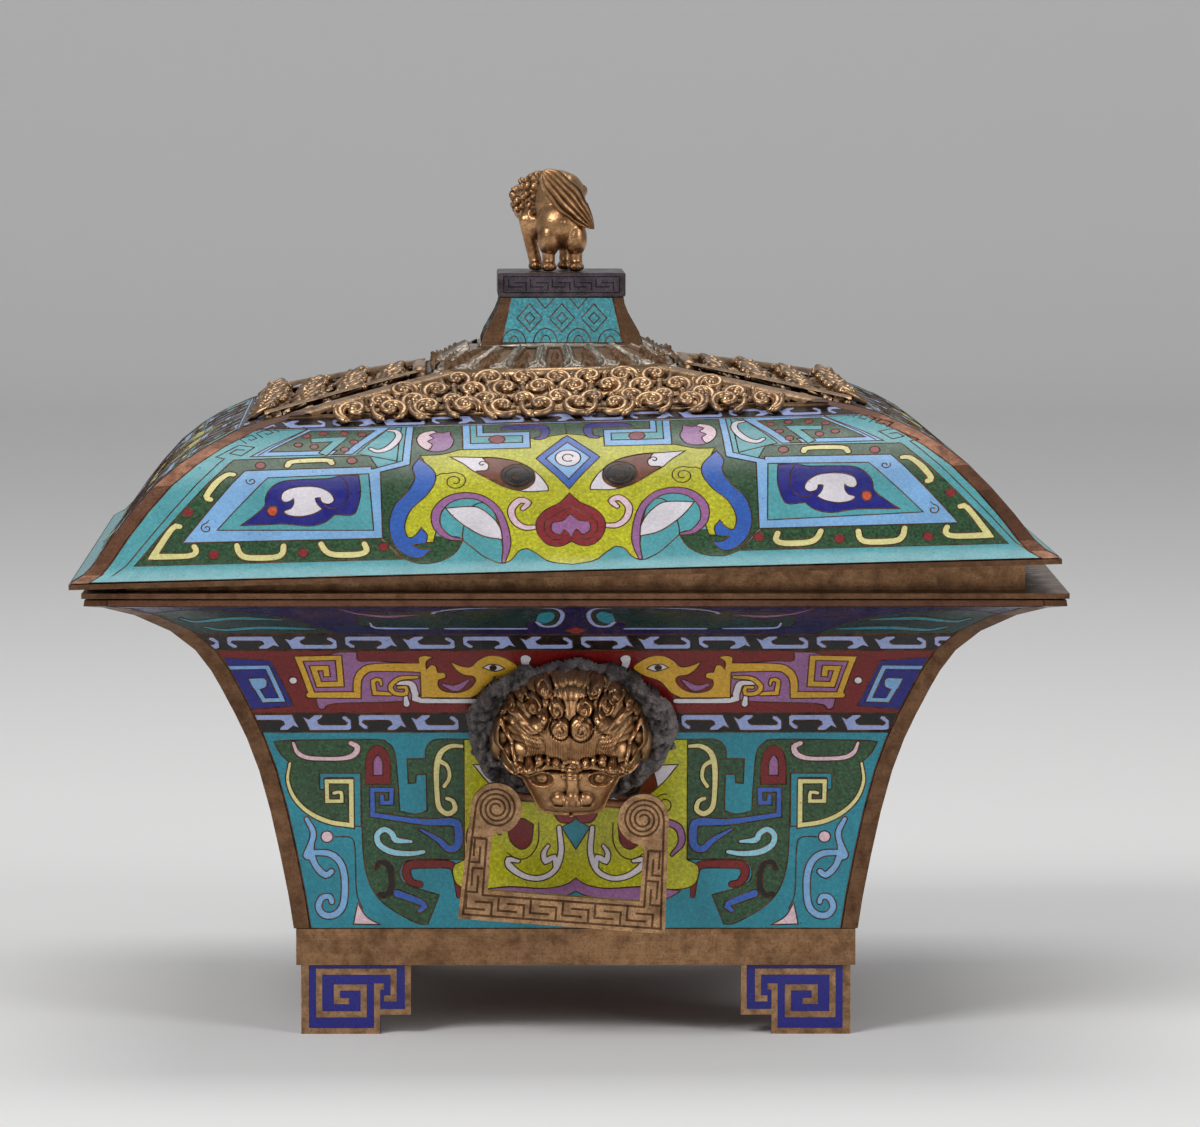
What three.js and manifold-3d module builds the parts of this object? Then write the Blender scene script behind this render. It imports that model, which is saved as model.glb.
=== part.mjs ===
// A four-sided incense burner in cloisonne enamel on copper, with gilt-bronze fittings.
// Units are millimetres, +Z is up, and the origin is on the table under the middle of the outline.
// The front, at -Y, is a side with a lion mask and a drop handle, and the back repeats it.
// The lid lies askew, as on the real burner: its right side has come down on top of the collar.
import * as THREE from "three";
import { mergeVertices } from "three/addons/utils/BufferGeometryUtils.js";
import Module from "manifold-3d";

const wasm = await Module();
wasm.setup();

// Driving dimensions
const GAP = 0.3; // left between pieces that are soldered or rest on each other
const SHEET = 1.8; // copper panel with its enamel
const POST = 5.2; // width of a gilt corner post on each face
const HIP = 4.2; // width of a copper hip strip on each slope
const LIP_HALF = 150;
const LIP_TOP = 144;
const LIP_SHEET = 1.6;
const COLLAR_HALF = 137.2;
const COLLAR_TOP = 152;
const COLLAR_SHEET = 1.6;
const COLLAR_BOTTOM = 140.4;
const BAND_HALF = 87.7;
const BAND_INNER = 82;
const BAND_LOW = 22;
const BAND_TOP = 33.4;
const FLOOR_SHEET = 2;
const FOOT_OUTER = 85.8;
const FOOT_WIDE = 34; // the foot along each side, under the band
const FOOT_NARROW = 24.5; // the part that reaches the table
const FOOT_STEP = 6.1; // height of the step in the foot's inner edge
const FOOT_SHEET = 5;
const LID_HALF = 150.75;
const LID_RIM_INNER = 143.5;
const LID_RIM_SHEET = 1.6;
const LID_TILT = THREE.MathUtils.degToRad(1.4); // the right side rides up on the collar
const LID_YAW = THREE.MathUtils.degToRad(1.2);
const LID_SHIFT = -6; // from the middle of the vessel
const LID_RIM_Z = 149.05; // height of the rim's middle
const STAND_X = 5; // the vessel's middle, to the right of the middle of the outline
const LAPPET_HALF = 40.6;
const LAPPET_TOP_HALF = 26.9;
const LAPPET_LOW = 54.2;
const LAPPET_SHOULDER = 56.6;
const LAPPET_TOP = 63.4;
const CAP_HALF = 20.25;
const CAP_LOW = 16.5; // cap and pedestal heights are above the lappet plate
const CAP_TOP = 24.1;
const PEDESTAL_TOP = 16.2;
const PEDESTAL_X = 2.6; // off the middle of the lappet plate
const PLATE_RADII = [32.8, 25.1];
const PLATE_SHEET = 2.6;
const MASK_X = -1.5;
const PLATE_ENDS = [[96.2, 75], [115.6, 121.5]]; // where the mask plate touches the wall: out, up
const PIVOT_OUT = 111;
const PIVOT_UP = 76.5;
const BAIL_SHEET = 4.2;
const BAIL_HALF = 32.2;
const BAIL_BAR = 8.6;
const BAIL_LOW_BAR = 9.4;
const BAIL_DROP = 39.1;
const SCROLL = { x: 22.8, z: -4, radius: 7.9 };
const BAIL_HANG = { front: 4.3, back: -1.5 }; // degrees that each drop handle hangs out of level
const PIN_RADIUS = 1.4;
const PIN_HOLE = 1.75;
const RIVET_RADIUS = 2;
const RIVET_HOLE = 2.4;
const RIVET_UP = 3; // above the plate's middle, along the wall
const SMOKE_HOLE = { long: 9.5, wide: 5 };
const BOLT_RADIUS = 1.8;
const BOLT_HOLE = 2.1;
const LINER = { top: 110.6, lowHalf: 82, topHalf: 94.2, lipHalf: 102.6, sheet: 1.5 };

// Outlines of the wall and the roof, as [half width, height]. The wall is measured from the table
// and the roof from the underside of the lid's rim.
const WALL = [
  [88.4, 33.7], [89.9, 44], [92.4, 57.6], [95.2, 71.2], [98.6, 84.6], [102.2, 95], [105.6, 102.8], [110, 112],
  [112.6, 117], [117.2, 123.8], [124.5, 130.4], [134.9, 136.2], [143.7, 139.2], [149.4, 140.1],
];
const ROOF = [
  [150.2, 1.9], [146.4, 3.9], [143.2, 7], [137.8, 14.4], [131.7, 21.9], [124.9, 29.2], [117.5, 35],
  [110.1, 39.4], [100.7, 43.7], [91.6, 46.4],
];
const ROOF_TOP = [[91.2, 46.5], [66, 51.6], [41, 56.2]];

const gilt = () => new THREE.MeshStandardMaterial({ color: 0xa9824b, roughness: 0.38, metalness: 1 });
const paleGilt = () => new THREE.MeshStandardMaterial({ color: 0xb89866, roughness: 0.45, metalness: 1 });
const darkBronze = () => new THREE.MeshStandardMaterial({ color: 0x5b4638, roughness: 0.5, metalness: 1 });
const copper = () => new THREE.MeshStandardMaterial({ color: 0x9c6b48, roughness: 0.45, metalness: 1 });
const solder = () => new THREE.MeshStandardMaterial({ color: 0x4f4c50, roughness: 0.8, metalness: 0.6 });
const turquoise = () => new THREE.MeshStandardMaterial({ color: 0x4ea3ac, roughness: 0.3, metalness: 0 });
const lapis = () => new THREE.MeshStandardMaterial({ color: 0x22309a, roughness: 0.3, metalness: 0 });

const object = new THREE.Group();
object.position.x = STAND_X;
const QUARTERS = { front: 0, right: Math.PI / 2, back: Math.PI, left: -Math.PI / 2 };
const CORNERS = { front_right: 0, back_right: Math.PI / 2, back_left: Math.PI, front_left: -Math.PI / 2 };

function add(name, geometry, material, parent = object, turn = 0) {
  const mesh = new THREE.Mesh(geometry, material);
  mesh.name = name;
  mesh.rotation.z = turn;
  parent.add(mesh);
  return mesh;
}

// Closed meshes to manifold solids and back
function bare(geometry) {
  const copy = geometry.clone();
  copy.deleteAttribute("normal");
  copy.deleteAttribute("uv");
  return mergeVertices(copy, 1e-4);
}

function solid(geometry) {
  const merged = bare(geometry);
  const triVerts = new Uint32Array(merged.index.array);
  const vertProperties = new Float32Array(merged.attributes.position.array);
  return new wasm.Manifold(new wasm.Mesh({ numProp: 3, vertProperties, triVerts }));
}

function geometryOf(manifold) {
  const mesh = manifold.getMesh();
  const geometry = new THREE.BufferGeometry();
  geometry.setAttribute("position", new THREE.BufferAttribute(new Float32Array(mesh.vertProperties), 3));
  geometry.setIndex(new THREE.BufferAttribute(new Uint32Array(mesh.triVerts), 1));
  return geometry;
}

const union = (geometries) => geometries.map(solid).reduce((a, b) => a.add(b));
const cut = (body, tools) => tools.map(solid).reduce((a, b) => a.subtract(b), body);

function signedVolume(points, faces) {
  return faces.reduce((sum, [a, b, c]) => sum + points[a].dot(points[b].clone().cross(points[c])), 0) / 6;
}

// A closed skin through rings of equal length. Each end is closed by a fan from the point fanFrom.
function loft(rings, fanFrom = 0) {
  const count = rings[0].length;
  const points = rings.flat().map((p) => new THREE.Vector3(...p));
  const faces = [];
  for (let r = 0; r + 1 < rings.length; r++) {
    for (let i = 0; i < count; i++) {
      const a = r * count + i;
      const b = r * count + ((i + 1) % count);
      faces.push([a, b, b + count], [a, b + count, a + count]);
    }
  }
  const last = (rings.length - 1) * count;
  for (let i = 1; i + 1 < count; i++) {
    const p = (fanFrom + i) % count;
    const q = (fanFrom + i + 1) % count;
    faces.push([fanFrom, q, p], [last + fanFrom, last + p, last + q]);
  }
  const outward = signedVolume(points, faces) > 0;
  const geometry = new THREE.BufferGeometry();
  geometry.setAttribute("position", new THREE.Float32BufferAttribute(points.flatMap((p) => p.toArray()), 3));
  geometry.setIndex(faces.flatMap((f) => (outward ? f : [f[0], f[2], f[1]])));
  return geometry;
}

// The inner side of a sheet whose outer side follows an outline. Both ends are cut level, or square.
function innerSide(outline, sheet, levelEnds) {
  return outline.map(([out, up], i) => {
    const before = outline[Math.max(i - 1, 0)];
    const after = outline[Math.min(i + 1, outline.length - 1)];
    const run = new THREE.Vector2(after[0] - before[0], after[1] - before[1]).normalize();
    const inward = new THREE.Vector2(-Math.abs(run.y), Math.sign(run.x) * Math.sign(run.y) * Math.abs(run.x));
    const isEnd = i === 0 || i === outline.length - 1;
    if (isEnd && levelEnds.includes(i === 0 ? "low" : "high")) {
      return [out - sheet / Math.abs(run.y), up];
    }
    return [out + inward.x * sheet, up + inward.y * sheet];
  });
}

// How far a strip of one width reaches in from the edge at each point of a sloping outline
function reach(outline, strip) {
  return outline.map((point, i) => {
    const [beforeOut, beforeUp] = outline[Math.max(i - 1, 0)];
    const [afterOut, afterUp] = outline[Math.min(i + 1, outline.length - 1)];
    const run = Math.hypot(afterOut - beforeOut, afterUp - beforeUp);
    return strip * Math.hypot(1, (afterOut - beforeOut) / run);
  });
}

// A panel on the front side, between two corner posts
function panel(outer, inner, strip) {
  const edge = reach(outer, strip);
  return loft(outer.map(([out, up], i) => {
    const half = out - edge[i];
    const [innerOut, innerUp] = inner[i];
    return [[half, -out, up], [-half, -out, up], [-half, -innerOut, innerUp], [half, -innerOut, innerUp]];
  }));
}

// A post of L section over the front right corner
function post(outer, inner, strip) {
  const edge = reach(outer, strip);
  return loft(outer.map(([out, up], i) => {
    const half = out - edge[i] + GAP;
    const [innerOut, innerUp] = inner[i];
    return [
      [half, -out, up], [out, -out, up], [out, -half, up],
      [innerOut, -half, innerUp], [innerOut, -innerOut, innerUp], [half, -innerOut, innerUp],
    ];
  }), 1);
}

function square(half) {
  return [[-half, -half], [half, -half], [half, half], [-half, half]].map((p) => new THREE.Vector2(...p));
}

function squareRing(outerHalf, innerHalf, low, high) {
  const shape = new THREE.Shape(square(outerHalf));
  shape.holes.push(new THREE.Path(square(innerHalf)));
  return new THREE.ExtrudeGeometry(shape, { depth: high - low, bevelEnabled: false }).translate(0, 0, low);
}

const squareRingAt = (half, up, tilt = 0) => square(half).map((p) => [p.x, p.y, up + p.x * tilt]);

function rod(radius, low, high, sides = 16) {
  return new THREE.CylinderGeometry(radius, radius, high - low, sides)
    .rotateX(Math.PI / 2)
    .translate(0, 0, (low + high) / 2);
}

// Vessel
const wallInner = innerSide(WALL, SHEET, ["low"]);

function maskFrame(geometry, side) {
  const [[lowOut, lowUp], [highOut, highUp]] = PLATE_ENDS;
  const lean = Math.atan2(highOut - lowOut, highUp - lowUp);
  const out = (lowOut + highOut) / 2 + 0.4 * Math.cos(lean);
  const up = (lowUp + highUp) / 2 - 0.4 * Math.sin(lean);
  return geometry.rotateX(lean).translate(MASK_X, -out, up).rotateZ(QUARTERS[side]);
}

const awayFromWall = (geometry) => geometry.rotateX(Math.PI / 2); // a rod's +Z turns to -Y, out of the wall

function rivetHole() {
  return awayFromWall(rod(RIVET_HOLE, -30, 9.5)).translate(0, 0, RIVET_UP);
}

function buildVessel() {
  for (const [side, turn] of Object.entries(QUARTERS)) {
    let geometry = panel(WALL, wallInner, POST);
    if (side === "front" || side === "back") {
      const hole = maskFrame(rivetHole(), "front");
      geometry = geometryOf(solid(geometry).subtract(solid(hole)));
    }
    add(`vessel_wall_${side}`, geometry, turquoise(), object, turn);
  }
  for (const [corner, turn] of Object.entries(CORNERS)) {
    add(`corner_post_${corner}`, post(WALL, wallInner, POST), gilt(), object, turn);
  }
  const floorHalf = WALL[0][0] - SHEET - GAP - 0.2;
  const floor = new THREE.BoxGeometry(2 * floorHalf, 2 * floorHalf, FLOOR_SHEET);
  add("vessel_floor", floor.translate(0, 0, BAND_TOP + GAP + FLOOR_SHEET / 2), copper());
  add("base_band", squareRing(BAND_HALF, BAND_INNER, BAND_LOW, BAND_TOP), gilt());
  add("lip_frame", squareRing(LIP_HALF, COLLAR_HALF + GAP, LIP_TOP - LIP_SHEET, LIP_TOP), gilt());
  const collar = squareRing(COLLAR_HALF, COLLAR_HALF - COLLAR_SHEET, COLLAR_BOTTOM, COLLAR_TOP);
  add("mouth_collar", collar, paleGilt());
}

// One leg of a foot, seen from the front, with the step in its inner edge
function footSheet() {
  const top = BAND_LOW - GAP;
  const inner = FOOT_OUTER - FOOT_WIDE;
  const shape = new THREE.Shape([
    [inner, top], [inner, FOOT_STEP], [FOOT_OUTER - FOOT_NARROW, FOOT_STEP],
    [FOOT_OUTER - FOOT_NARROW, 0], [FOOT_OUTER, 0], [FOOT_OUTER, top],
  ].map((p) => new THREE.Vector2(...p)));
  return new THREE.ExtrudeGeometry(shape, { depth: FOOT_SHEET, bevelEnabled: false })
    .rotateX(Math.PI / 2)
    .translate(0, -FOOT_OUTER + FOOT_SHEET, 0);
}

function buildFeet() {
  const alongFront = footSheet();
  const alongSide = footSheet().scale(-1, 1, 1).rotateZ(Math.PI / 2);
  const mirrored = bare(alongSide);
  mirrored.index.array.reverse();
  for (const [corner, turn] of Object.entries(CORNERS)) {
    const foot = solid(alongFront).add(solid(mirrored));
    add(`foot_${corner}`, geometryOf(foot), lapis(), object, turn);
  }
}

function buildLiner() {
  const { top, lowHalf, topHalf, lipHalf, sheet } = LINER;
  const low = BAND_TOP + 2 * GAP + FLOOR_SHEET;
  const outer = union([
    loft([squareRingAt(lowHalf, low), squareRingAt(topHalf, top)]),
    loft([squareRingAt(lipHalf, top - sheet), squareRingAt(lipHalf, top)]),
  ]);
  const hollow = loft([squareRingAt(lowHalf - sheet, low + sheet), squareRingAt(topHalf - sheet, top + 1)]);
  add("ash_liner", geometryOf(outer.subtract(solid(hollow))), copper());
}

// Lion mask, as blobs on the plate: across, out of the wall, up the wall, and three radii
const MASK_BLOBS = [
  [0, 4, 4, 24.8, 15, 20.2], [0, 10, 8, 20, 10, 14.5], [0, 14, -12, 12.3, 8.5, 10.3], [0, 19.5, -15.5, 7.2, 4, 4.2],
];
const MASK_PAIRS = [[9, 15, -3.5, 8, 5, 4.2], [14, 8, -5, 9, 7, 8], [20.6, 8, 3.5, 4.8, 6, 8.6], [7, 17.5, 15, 6, 4.5, 5]];

function blob(x, y, z, rx, ry, rz, across = 14, down = 9) {
  return new THREE.SphereGeometry(1, across, down).scale(rx, ry, rz).translate(x, y, z);
}

function pivotFrame(geometry, side) {
  return geometry
    .rotateY(THREE.MathUtils.degToRad(BAIL_HANG[side]))
    .translate(MASK_X, -PIVOT_OUT, PIVOT_UP)
    .rotateZ(QUARTERS[side]);
}

const pinAt = (radius, from, to) => rod(radius, from, to, 12).rotateY(Math.PI / 2);

function buildMask(side) {
  const blobs = MASK_BLOBS.map(([x, out, up, ...radii]) => blob(x, -out, up, ...radii));
  for (const [x, out, up, ...radii] of MASK_PAIRS) {
    blobs.push(blob(x, -out, up, ...radii), blob(-x, -out, up, ...radii));
  }
  const back = new THREE.BoxGeometry(80, 40, 80).translate(0, 20 - PLATE_SHEET - GAP, 0);
  const head = cut(union(blobs), [back, rivetHole()]);
  const placed = maskFrame(geometryOf(head), side);
  const holes = [pinAt(PIN_HOLE, 7, 18), pinAt(PIN_HOLE, -18, -7)].map((hole) => pivotFrame(hole, side));
  add(`lion_mask_${side}`, geometryOf(cut(solid(placed), holes)), gilt());
  const plate = new THREE.CylinderGeometry(1, 1, PLATE_SHEET, 28)
    .scale(PLATE_RADII[0], 1, PLATE_RADII[1])
    .translate(0, -PLATE_SHEET / 2, 0);
  const drilled = geometryOf(cut(solid(plate), [rivetHole()]));
  add(`mask_plate_${side}`, maskFrame(drilled, side), solder());
  const shank = awayFromWall(rod(RIVET_RADIUS, -9.4, 9)).translate(0, 0, RIVET_UP);
  const head2 = awayFromWall(rod(RIVET_RADIUS * 2, -9.4, -7.2)).translate(0, 0, RIVET_UP);
  add(`mask_rivet_${side}`, maskFrame(geometryOf(union([shank, head2])), side), copper());
  const washer = awayFromWall(rod(6, -6.9, -5.6)).translate(0, 0, RIVET_UP);
  add(`mask_washer_${side}`, maskFrame(geometryOf(cut(solid(washer), [rivetHole()])), side), copper());
}

function bailOutline() {
  const { x, z, radius } = SCROLL;
  const innerX = BAIL_HALF - BAIL_BAR;
  const innerZ = -BAIL_DROP + BAIL_LOW_BAR;
  const shape = new THREE.Shape();
  shape.moveTo(-BAIL_HALF, -BAIL_DROP);
  shape.lineTo(BAIL_HALF, -BAIL_DROP);
  shape.lineTo(x + radius, z);
  shape.absarc(x, z, radius, 0, Math.PI * 1.5, false);
  shape.lineTo(innerX, z - radius - 1.4);
  shape.lineTo(innerX, innerZ);
  shape.lineTo(-innerX, innerZ);
  shape.lineTo(-innerX, z - radius - 1.4);
  shape.absarc(-x, z, radius, -Math.PI / 2, Math.PI, false);
  return shape;
}

function buildBail(side) {
  const frame = new THREE.ExtrudeGeometry(bailOutline(), { depth: BAIL_SHEET, bevelEnabled: false, curveSegments: 12 })
    .translate(0, 0, -BAIL_SHEET / 2)
    .rotateX(Math.PI / 2);
  const holes = [pinAt(PIN_HOLE, 13, 20.6), pinAt(PIN_HOLE, -20.6, -13)];
  add(`drop_handle_${side}`, pivotFrame(geometryOf(cut(solid(frame), holes)), side), gilt());
  add(`handle_pin_${side}_right`, pivotFrame(pinAt(PIN_RADIUS, 8, 20.2), side), copper());
  add(`handle_pin_${side}_left`, pivotFrame(pinAt(PIN_RADIUS, -20.2, -8), side), copper());
}

// Lid
function lensHole(x, z, length, height, turn) {
  const path = new THREE.Path();
  path.absellipse(x, z, length / 2, height / 2, 0, 2 * Math.PI, true, turn);
  return path;
}

// Smoke holes of the openwork: rows of slanting lens shapes between its scrolls
function openworkPanel() {
  const low = new THREE.Vector2(...ROOF_TOP[0]);
  const high = new THREE.Vector2(...ROOF_TOP[ROOF_TOP.length - 1]);
  const rise = Math.atan2(high.y - low.y, low.x - high.x);
  const length = low.distanceTo(high);
  const strip = reach([ROOF_TOP[0], ROOF_TOP[ROOF_TOP.length - 1]], HIP)[0];
  const lowHalf = low.x - strip;
  const highHalf = high.x - strip;
  const shape = new THREE.Shape([[-lowHalf, 0], [lowHalf, 0], [highHalf, length], [-highHalf, length]]
    .map((p) => new THREE.Vector2(...p)));
  const rows = [{ up: 9, count: 9 }, { up: 21, count: 7 }, { up: 32, count: 6 }, { up: 42, count: 4 }];
  for (const { up, count } of rows) {
    const half = lowHalf + (highHalf - lowHalf) * (up / length) - 7.5;
    for (let i = 0; i < count; i++) {
      const x = -half + (2 * half * i) / (count - 1);
      shape.holes.push(lensHole(x, up, SMOKE_HOLE.long, SMOKE_HOLE.wide, i % 2 ? 0.6 : -0.6));
    }
  }
  return new THREE.ExtrudeGeometry(shape, { depth: 2.2, bevelEnabled: false, curveSegments: 5 })
    .translate(0, 0, -2.2)
    .rotateX(rise)
    .translate(0, -low.x, low.y);
}

function lappetPlate() {
  const outer = loft([
    squareRingAt(LAPPET_HALF, LAPPET_LOW), squareRingAt(LAPPET_HALF, LAPPET_SHOULDER),
    squareRingAt(33, 60.3), squareRingAt(LAPPET_TOP_HALF, LAPPET_TOP),
  ]);
  const inner = loft([
    squareRingAt(LAPPET_HALF - 2, LAPPET_LOW - 1), squareRingAt(LAPPET_HALF - 2, LAPPET_SHOULDER - 1.6),
    squareRingAt(LAPPET_TOP_HALF - 2, LAPPET_TOP - 1.8),
  ]);
  return geometryOf(cut(solid(outer), [inner, rod(BOLT_HOLE, LAPPET_LOW, LAPPET_TOP + 2).translate(PEDESTAL_X, 0, 0)]));
}

function buildLid() {
  const lid = new THREE.Group();
  lid.position.set(LID_SHIFT, 0, LID_RIM_Z);
  lid.rotation.set(0, -LID_TILT, LID_YAW, "ZYX");
  object.add(lid);
  const roofInner = innerSide(ROOF, SHEET, ["low"]);
  const hip = [...ROOF.slice(0, -1), ...ROOF_TOP];
  const hipInner = innerSide(hip, SHEET, ["low"]);
  for (const [side, turn] of Object.entries(QUARTERS)) {
    add(`lid_panel_${side}`, panel(ROOF, roofInner, HIP), turquoise(), lid, turn);
    add(`openwork_${side}`, openworkPanel(), paleGilt(), lid, turn);
  }
  for (const [corner, turn] of Object.entries(CORNERS)) {
    add(`lid_hip_${corner}`, post(hip, hipInner, HIP), copper(), lid, turn);
  }
  add("lid_rim_frame", squareRing(LID_HALF, LID_RIM_INNER, 0, LID_RIM_SHEET), gilt(), lid);
  add("lappet_plate", lappetPlate(), paleGilt(), lid);
  return lid;
}

const PEDESTAL = [[26.2, 0], [25.6, 2.4], [24.7, 5], [23, 8], [21.2, 11.2], [20.1, 14], [19.7, PEDESTAL_TOP]];

// The pedestal stands upright on the tilted lid, so its foot is cut to the slope
function buildPedestal(lid) {
  const upright = new THREE.Group();
  upright.position.set(PEDESTAL_X, 0, LAPPET_TOP);
  upright.rotation.y = LID_TILT;
  lid.add(upright);
  const slope = Math.tan(LID_TILT);
  const rings = PEDESTAL.map(([half, up], i) => squareRingAt(half, up + (i ? 0 : GAP), i ? 0 : slope));
  const hollow = [
    squareRingAt(PEDESTAL[0][0] - 2, -3), squareRingAt(PEDESTAL[2][0] - 2, PEDESTAL[2][1]),
    squareRingAt(PEDESTAL[6][0] - 2, PEDESTAL_TOP - 2),
  ];
  const shell = cut(solid(loft(rings)), [loft(hollow), rod(BOLT_HOLE, 0, 30)]);
  add("finial_pedestal", geometryOf(shell), turquoise(), upright);
  const block = loft([squareRingAt(CAP_HALF, CAP_LOW), squareRingAt(CAP_HALF, CAP_TOP)]);
  const inside = loft([squareRingAt(CAP_HALF - 2, CAP_LOW - 1), squareRingAt(CAP_HALF - 2, CAP_TOP - 2)]);
  add("finial_cap", geometryOf(cut(solid(block), [inside])), darkBronze(), upright);
  const bolt = union([rod(BOLT_RADIUS, -9.6, PEDESTAL_TOP + 1.2), rod(4, PEDESTAL_TOP + GAP, PEDESTAL_TOP + 2.8)]);
  add("finial_tie_bolt", geometryOf(bolt), copper(), upright);
  const nut = new THREE.BoxGeometry(9, 9, 4).translate(0, 0, -4.9);
  add("finial_tie_nut", geometryOf(cut(solid(nut), [rod(BOLT_HOLE, -10, 0)])), copper(), upright);
  return upright;
}

// Guardian lion seen from behind, its head turned to the left. It stands on the middle of the cap:
// blobs as across, back, up, and three radii
const LION_BLOBS = [
  [0, -6.5, 13.8, 8, 6.5, 7.4], [-0.6, -1, 20.2, 8.4, 8.5, 10], [2, -1, 22, 6, 7.5, 7.4], [-4, 3.5, 20, 7.6, 7.5, 8.8],
  [-8, 3.4, 14.6, 5, 5.5, 6.5], [-6, 4, 23.4, 7.4, 7, 6.6], [-9.3, 7, 20.6, 6.4, 6, 6.8], [-11, 10.5, 17.8, 4, 4.2, 3.6],
  [7.1, -1.5, 24, 1.6, 1.6, 1.8], [4.6, -8, 10, 3.8, 4.6, 5.6], [-3.8, -8, 10, 3.8, 4.6, 5.6],
];
const LION_LEGS = [[4.8, -8.6, 2.2, 10, 0], [-4, -8.6, 2.2, 10, 0], [-7.8, 1, 2.2, 15, -0.24], [1.6, 6, 2, 18, 0]];
const LION_PAW = [2.7, 3.4, 1.7];
const LION_STRETCH = 1.08; // upwards, over the blobs' own heights
const TAIL = { x: 2.3, y: -11.3, z: 21.4, long: 12, wide: 4.6, thick: 2.8, fall: THREE.MathUtils.degToRad(46) };

function buildLion(upright) {
  const parts = LION_BLOBS.map((b) => blob(...b, 12, 8));
  for (const [x, y, radius, top, lean] of LION_LEGS) {
    parts.push(rod(radius, -1, top, 10).rotateY(lean).translate(x, y, 0));
    parts.push(blob(x, y - 1.2, LION_PAW[2], ...LION_PAW, 10, 6));
  }
  parts.push(blob(0, 0, 0, TAIL.long, TAIL.thick, TAIL.wide, 12, 8)
    .rotateY(TAIL.fall)
    .translate(TAIL.x, TAIL.y, TAIL.z));
  const lion = union(parts).intersect(solid(new THREE.BoxGeometry(60, 60, 60).translate(0, 0, 30)));
  const stretched = geometryOf(lion).scale(1, 1, LION_STRETCH);
  add("finial_lion", stretched.translate(0, 0, CAP_TOP + GAP), gilt(), upright);
}

buildVessel();
buildFeet();
buildLiner();
for (const side of ["front", "back"]) {
  buildMask(side);
  buildBail(side);
}
const lid = buildLid();
buildLion(buildPedestal(lid));

export default object;
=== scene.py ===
# %% [markdown]
# A four-sided incense burner in cloisonne enamel, with gilt-bronze fittings.
#
# The real burner is copper sheet. Thin wires are soldered on it as outlines, the cells between
# them are filled with coloured glass paste, and the whole is fired and polished flat. The CAD
# model already holds every plate, post and pin at its true size. This lesson dresses it: it lays
# enamel skins and wires on the walls and the roof, carves the castings, and gives each metal its
# finish. Lengths are in millimetres until a piece is placed, because a maker thinks in them.

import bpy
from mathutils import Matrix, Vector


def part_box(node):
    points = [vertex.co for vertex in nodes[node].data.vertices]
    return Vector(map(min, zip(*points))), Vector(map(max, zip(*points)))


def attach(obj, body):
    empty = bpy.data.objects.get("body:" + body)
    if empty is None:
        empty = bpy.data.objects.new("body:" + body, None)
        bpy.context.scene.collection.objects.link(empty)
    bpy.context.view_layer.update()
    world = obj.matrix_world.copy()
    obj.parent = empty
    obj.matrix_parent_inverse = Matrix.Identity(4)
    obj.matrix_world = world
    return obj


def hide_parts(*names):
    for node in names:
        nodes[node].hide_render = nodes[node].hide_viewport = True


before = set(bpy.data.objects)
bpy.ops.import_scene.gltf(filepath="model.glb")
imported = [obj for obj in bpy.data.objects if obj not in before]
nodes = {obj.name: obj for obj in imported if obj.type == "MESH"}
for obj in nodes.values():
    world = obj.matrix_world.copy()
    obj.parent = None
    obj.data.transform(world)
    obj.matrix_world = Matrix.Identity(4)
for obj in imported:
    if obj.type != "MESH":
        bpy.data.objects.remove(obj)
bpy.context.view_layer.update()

import math

import bpy
import numpy as np
from mathutils import geometry

print("CAD nodes:", len(nodes))

# %% [markdown]
# Every side of the burner repeats the front, so each piece is worked out once, in the frame of
# the thing that carries it, and then turned to its side. A 4 by 4 matrix does both the turn and
# the move. The vessel stands a little right of the origin, and the lid lies askew on it: slid to
# the left, turned by about a degree and tilted, because its right side sits on top of the collar.

# %% Where things are carried
MM = 0.001
SIDES = {"front": 0, "right": 90, "back": 180, "left": -90}
LID_TILT = 1.4
LID_YAW = 1.2
LID_SHIFT = -6.0
LID_RIM_Z = 149.05
LAPPET_TOP = 63.4
PEDESTAL_X = 2.6
CAP_TOP = 24.1


def move(x, y, z):
    """A shift, in millimetres."""
    m = np.eye(4)
    m[:3, 3] = x, y, z
    return m


def turn(axis, degrees):
    """A right-handed turn about one axis: the other two coordinates mix by cosine and sine."""
    i, j = {"x": (1, 2), "y": (2, 0), "z": (0, 1)}[axis]
    c = math.cos(math.radians(degrees))
    s = math.sin(math.radians(degrees))
    m = np.eye(4)
    m[i, i] = m[j, j] = c
    m[i, j] = -s
    m[j, i] = s
    return m


band_low, band_high = (np.array(corner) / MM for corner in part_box("base_band"))
stand_x = float((band_low[0] + band_high[0]) / 2)
VESSEL = move(stand_x, 0, 0)
LID = VESSEL @ move(LID_SHIFT, 0, LID_RIM_Z) @ turn("z", LID_YAW) @ turn("y", -LID_TILT)
UPRIGHT = LID @ move(PEDESTAL_X, 0, LAPPET_TOP) @ turn("y", LID_TILT)
print("the vessel stands", round(stand_x, 2), "mm right of the origin")


def placed(points, matrix, side="front"):
    """Points in a carrier's own millimetres become metres in the shared frame."""
    m = matrix @ turn("z", SIDES[side])
    return (points @ m[:3, :3].T + m[:3, 3]) * MM


def srgb(red, green, blue):
    """A colour written as 0 to 255, as the shader wants it: linear light, with an alpha of 1."""
    c = np.array([red, green, blue]) / 255
    linear = np.where(c <= 0.04045, c / 12.92, ((c + 0.055) / 1.055) ** 2.4)
    return (*linear.tolist(), 1.0)


# %% [markdown]
# The photograph was taken with a long lens, a little above the lid's rim, so the camera stands
# 2.3 m away and looks down by 4.4 degrees. The stage is a pale floor that curves up into a
# backdrop. Metal shows what is around it, so the world is a soft grey, and three large lamps
# give the gilt its long highlights.

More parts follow.
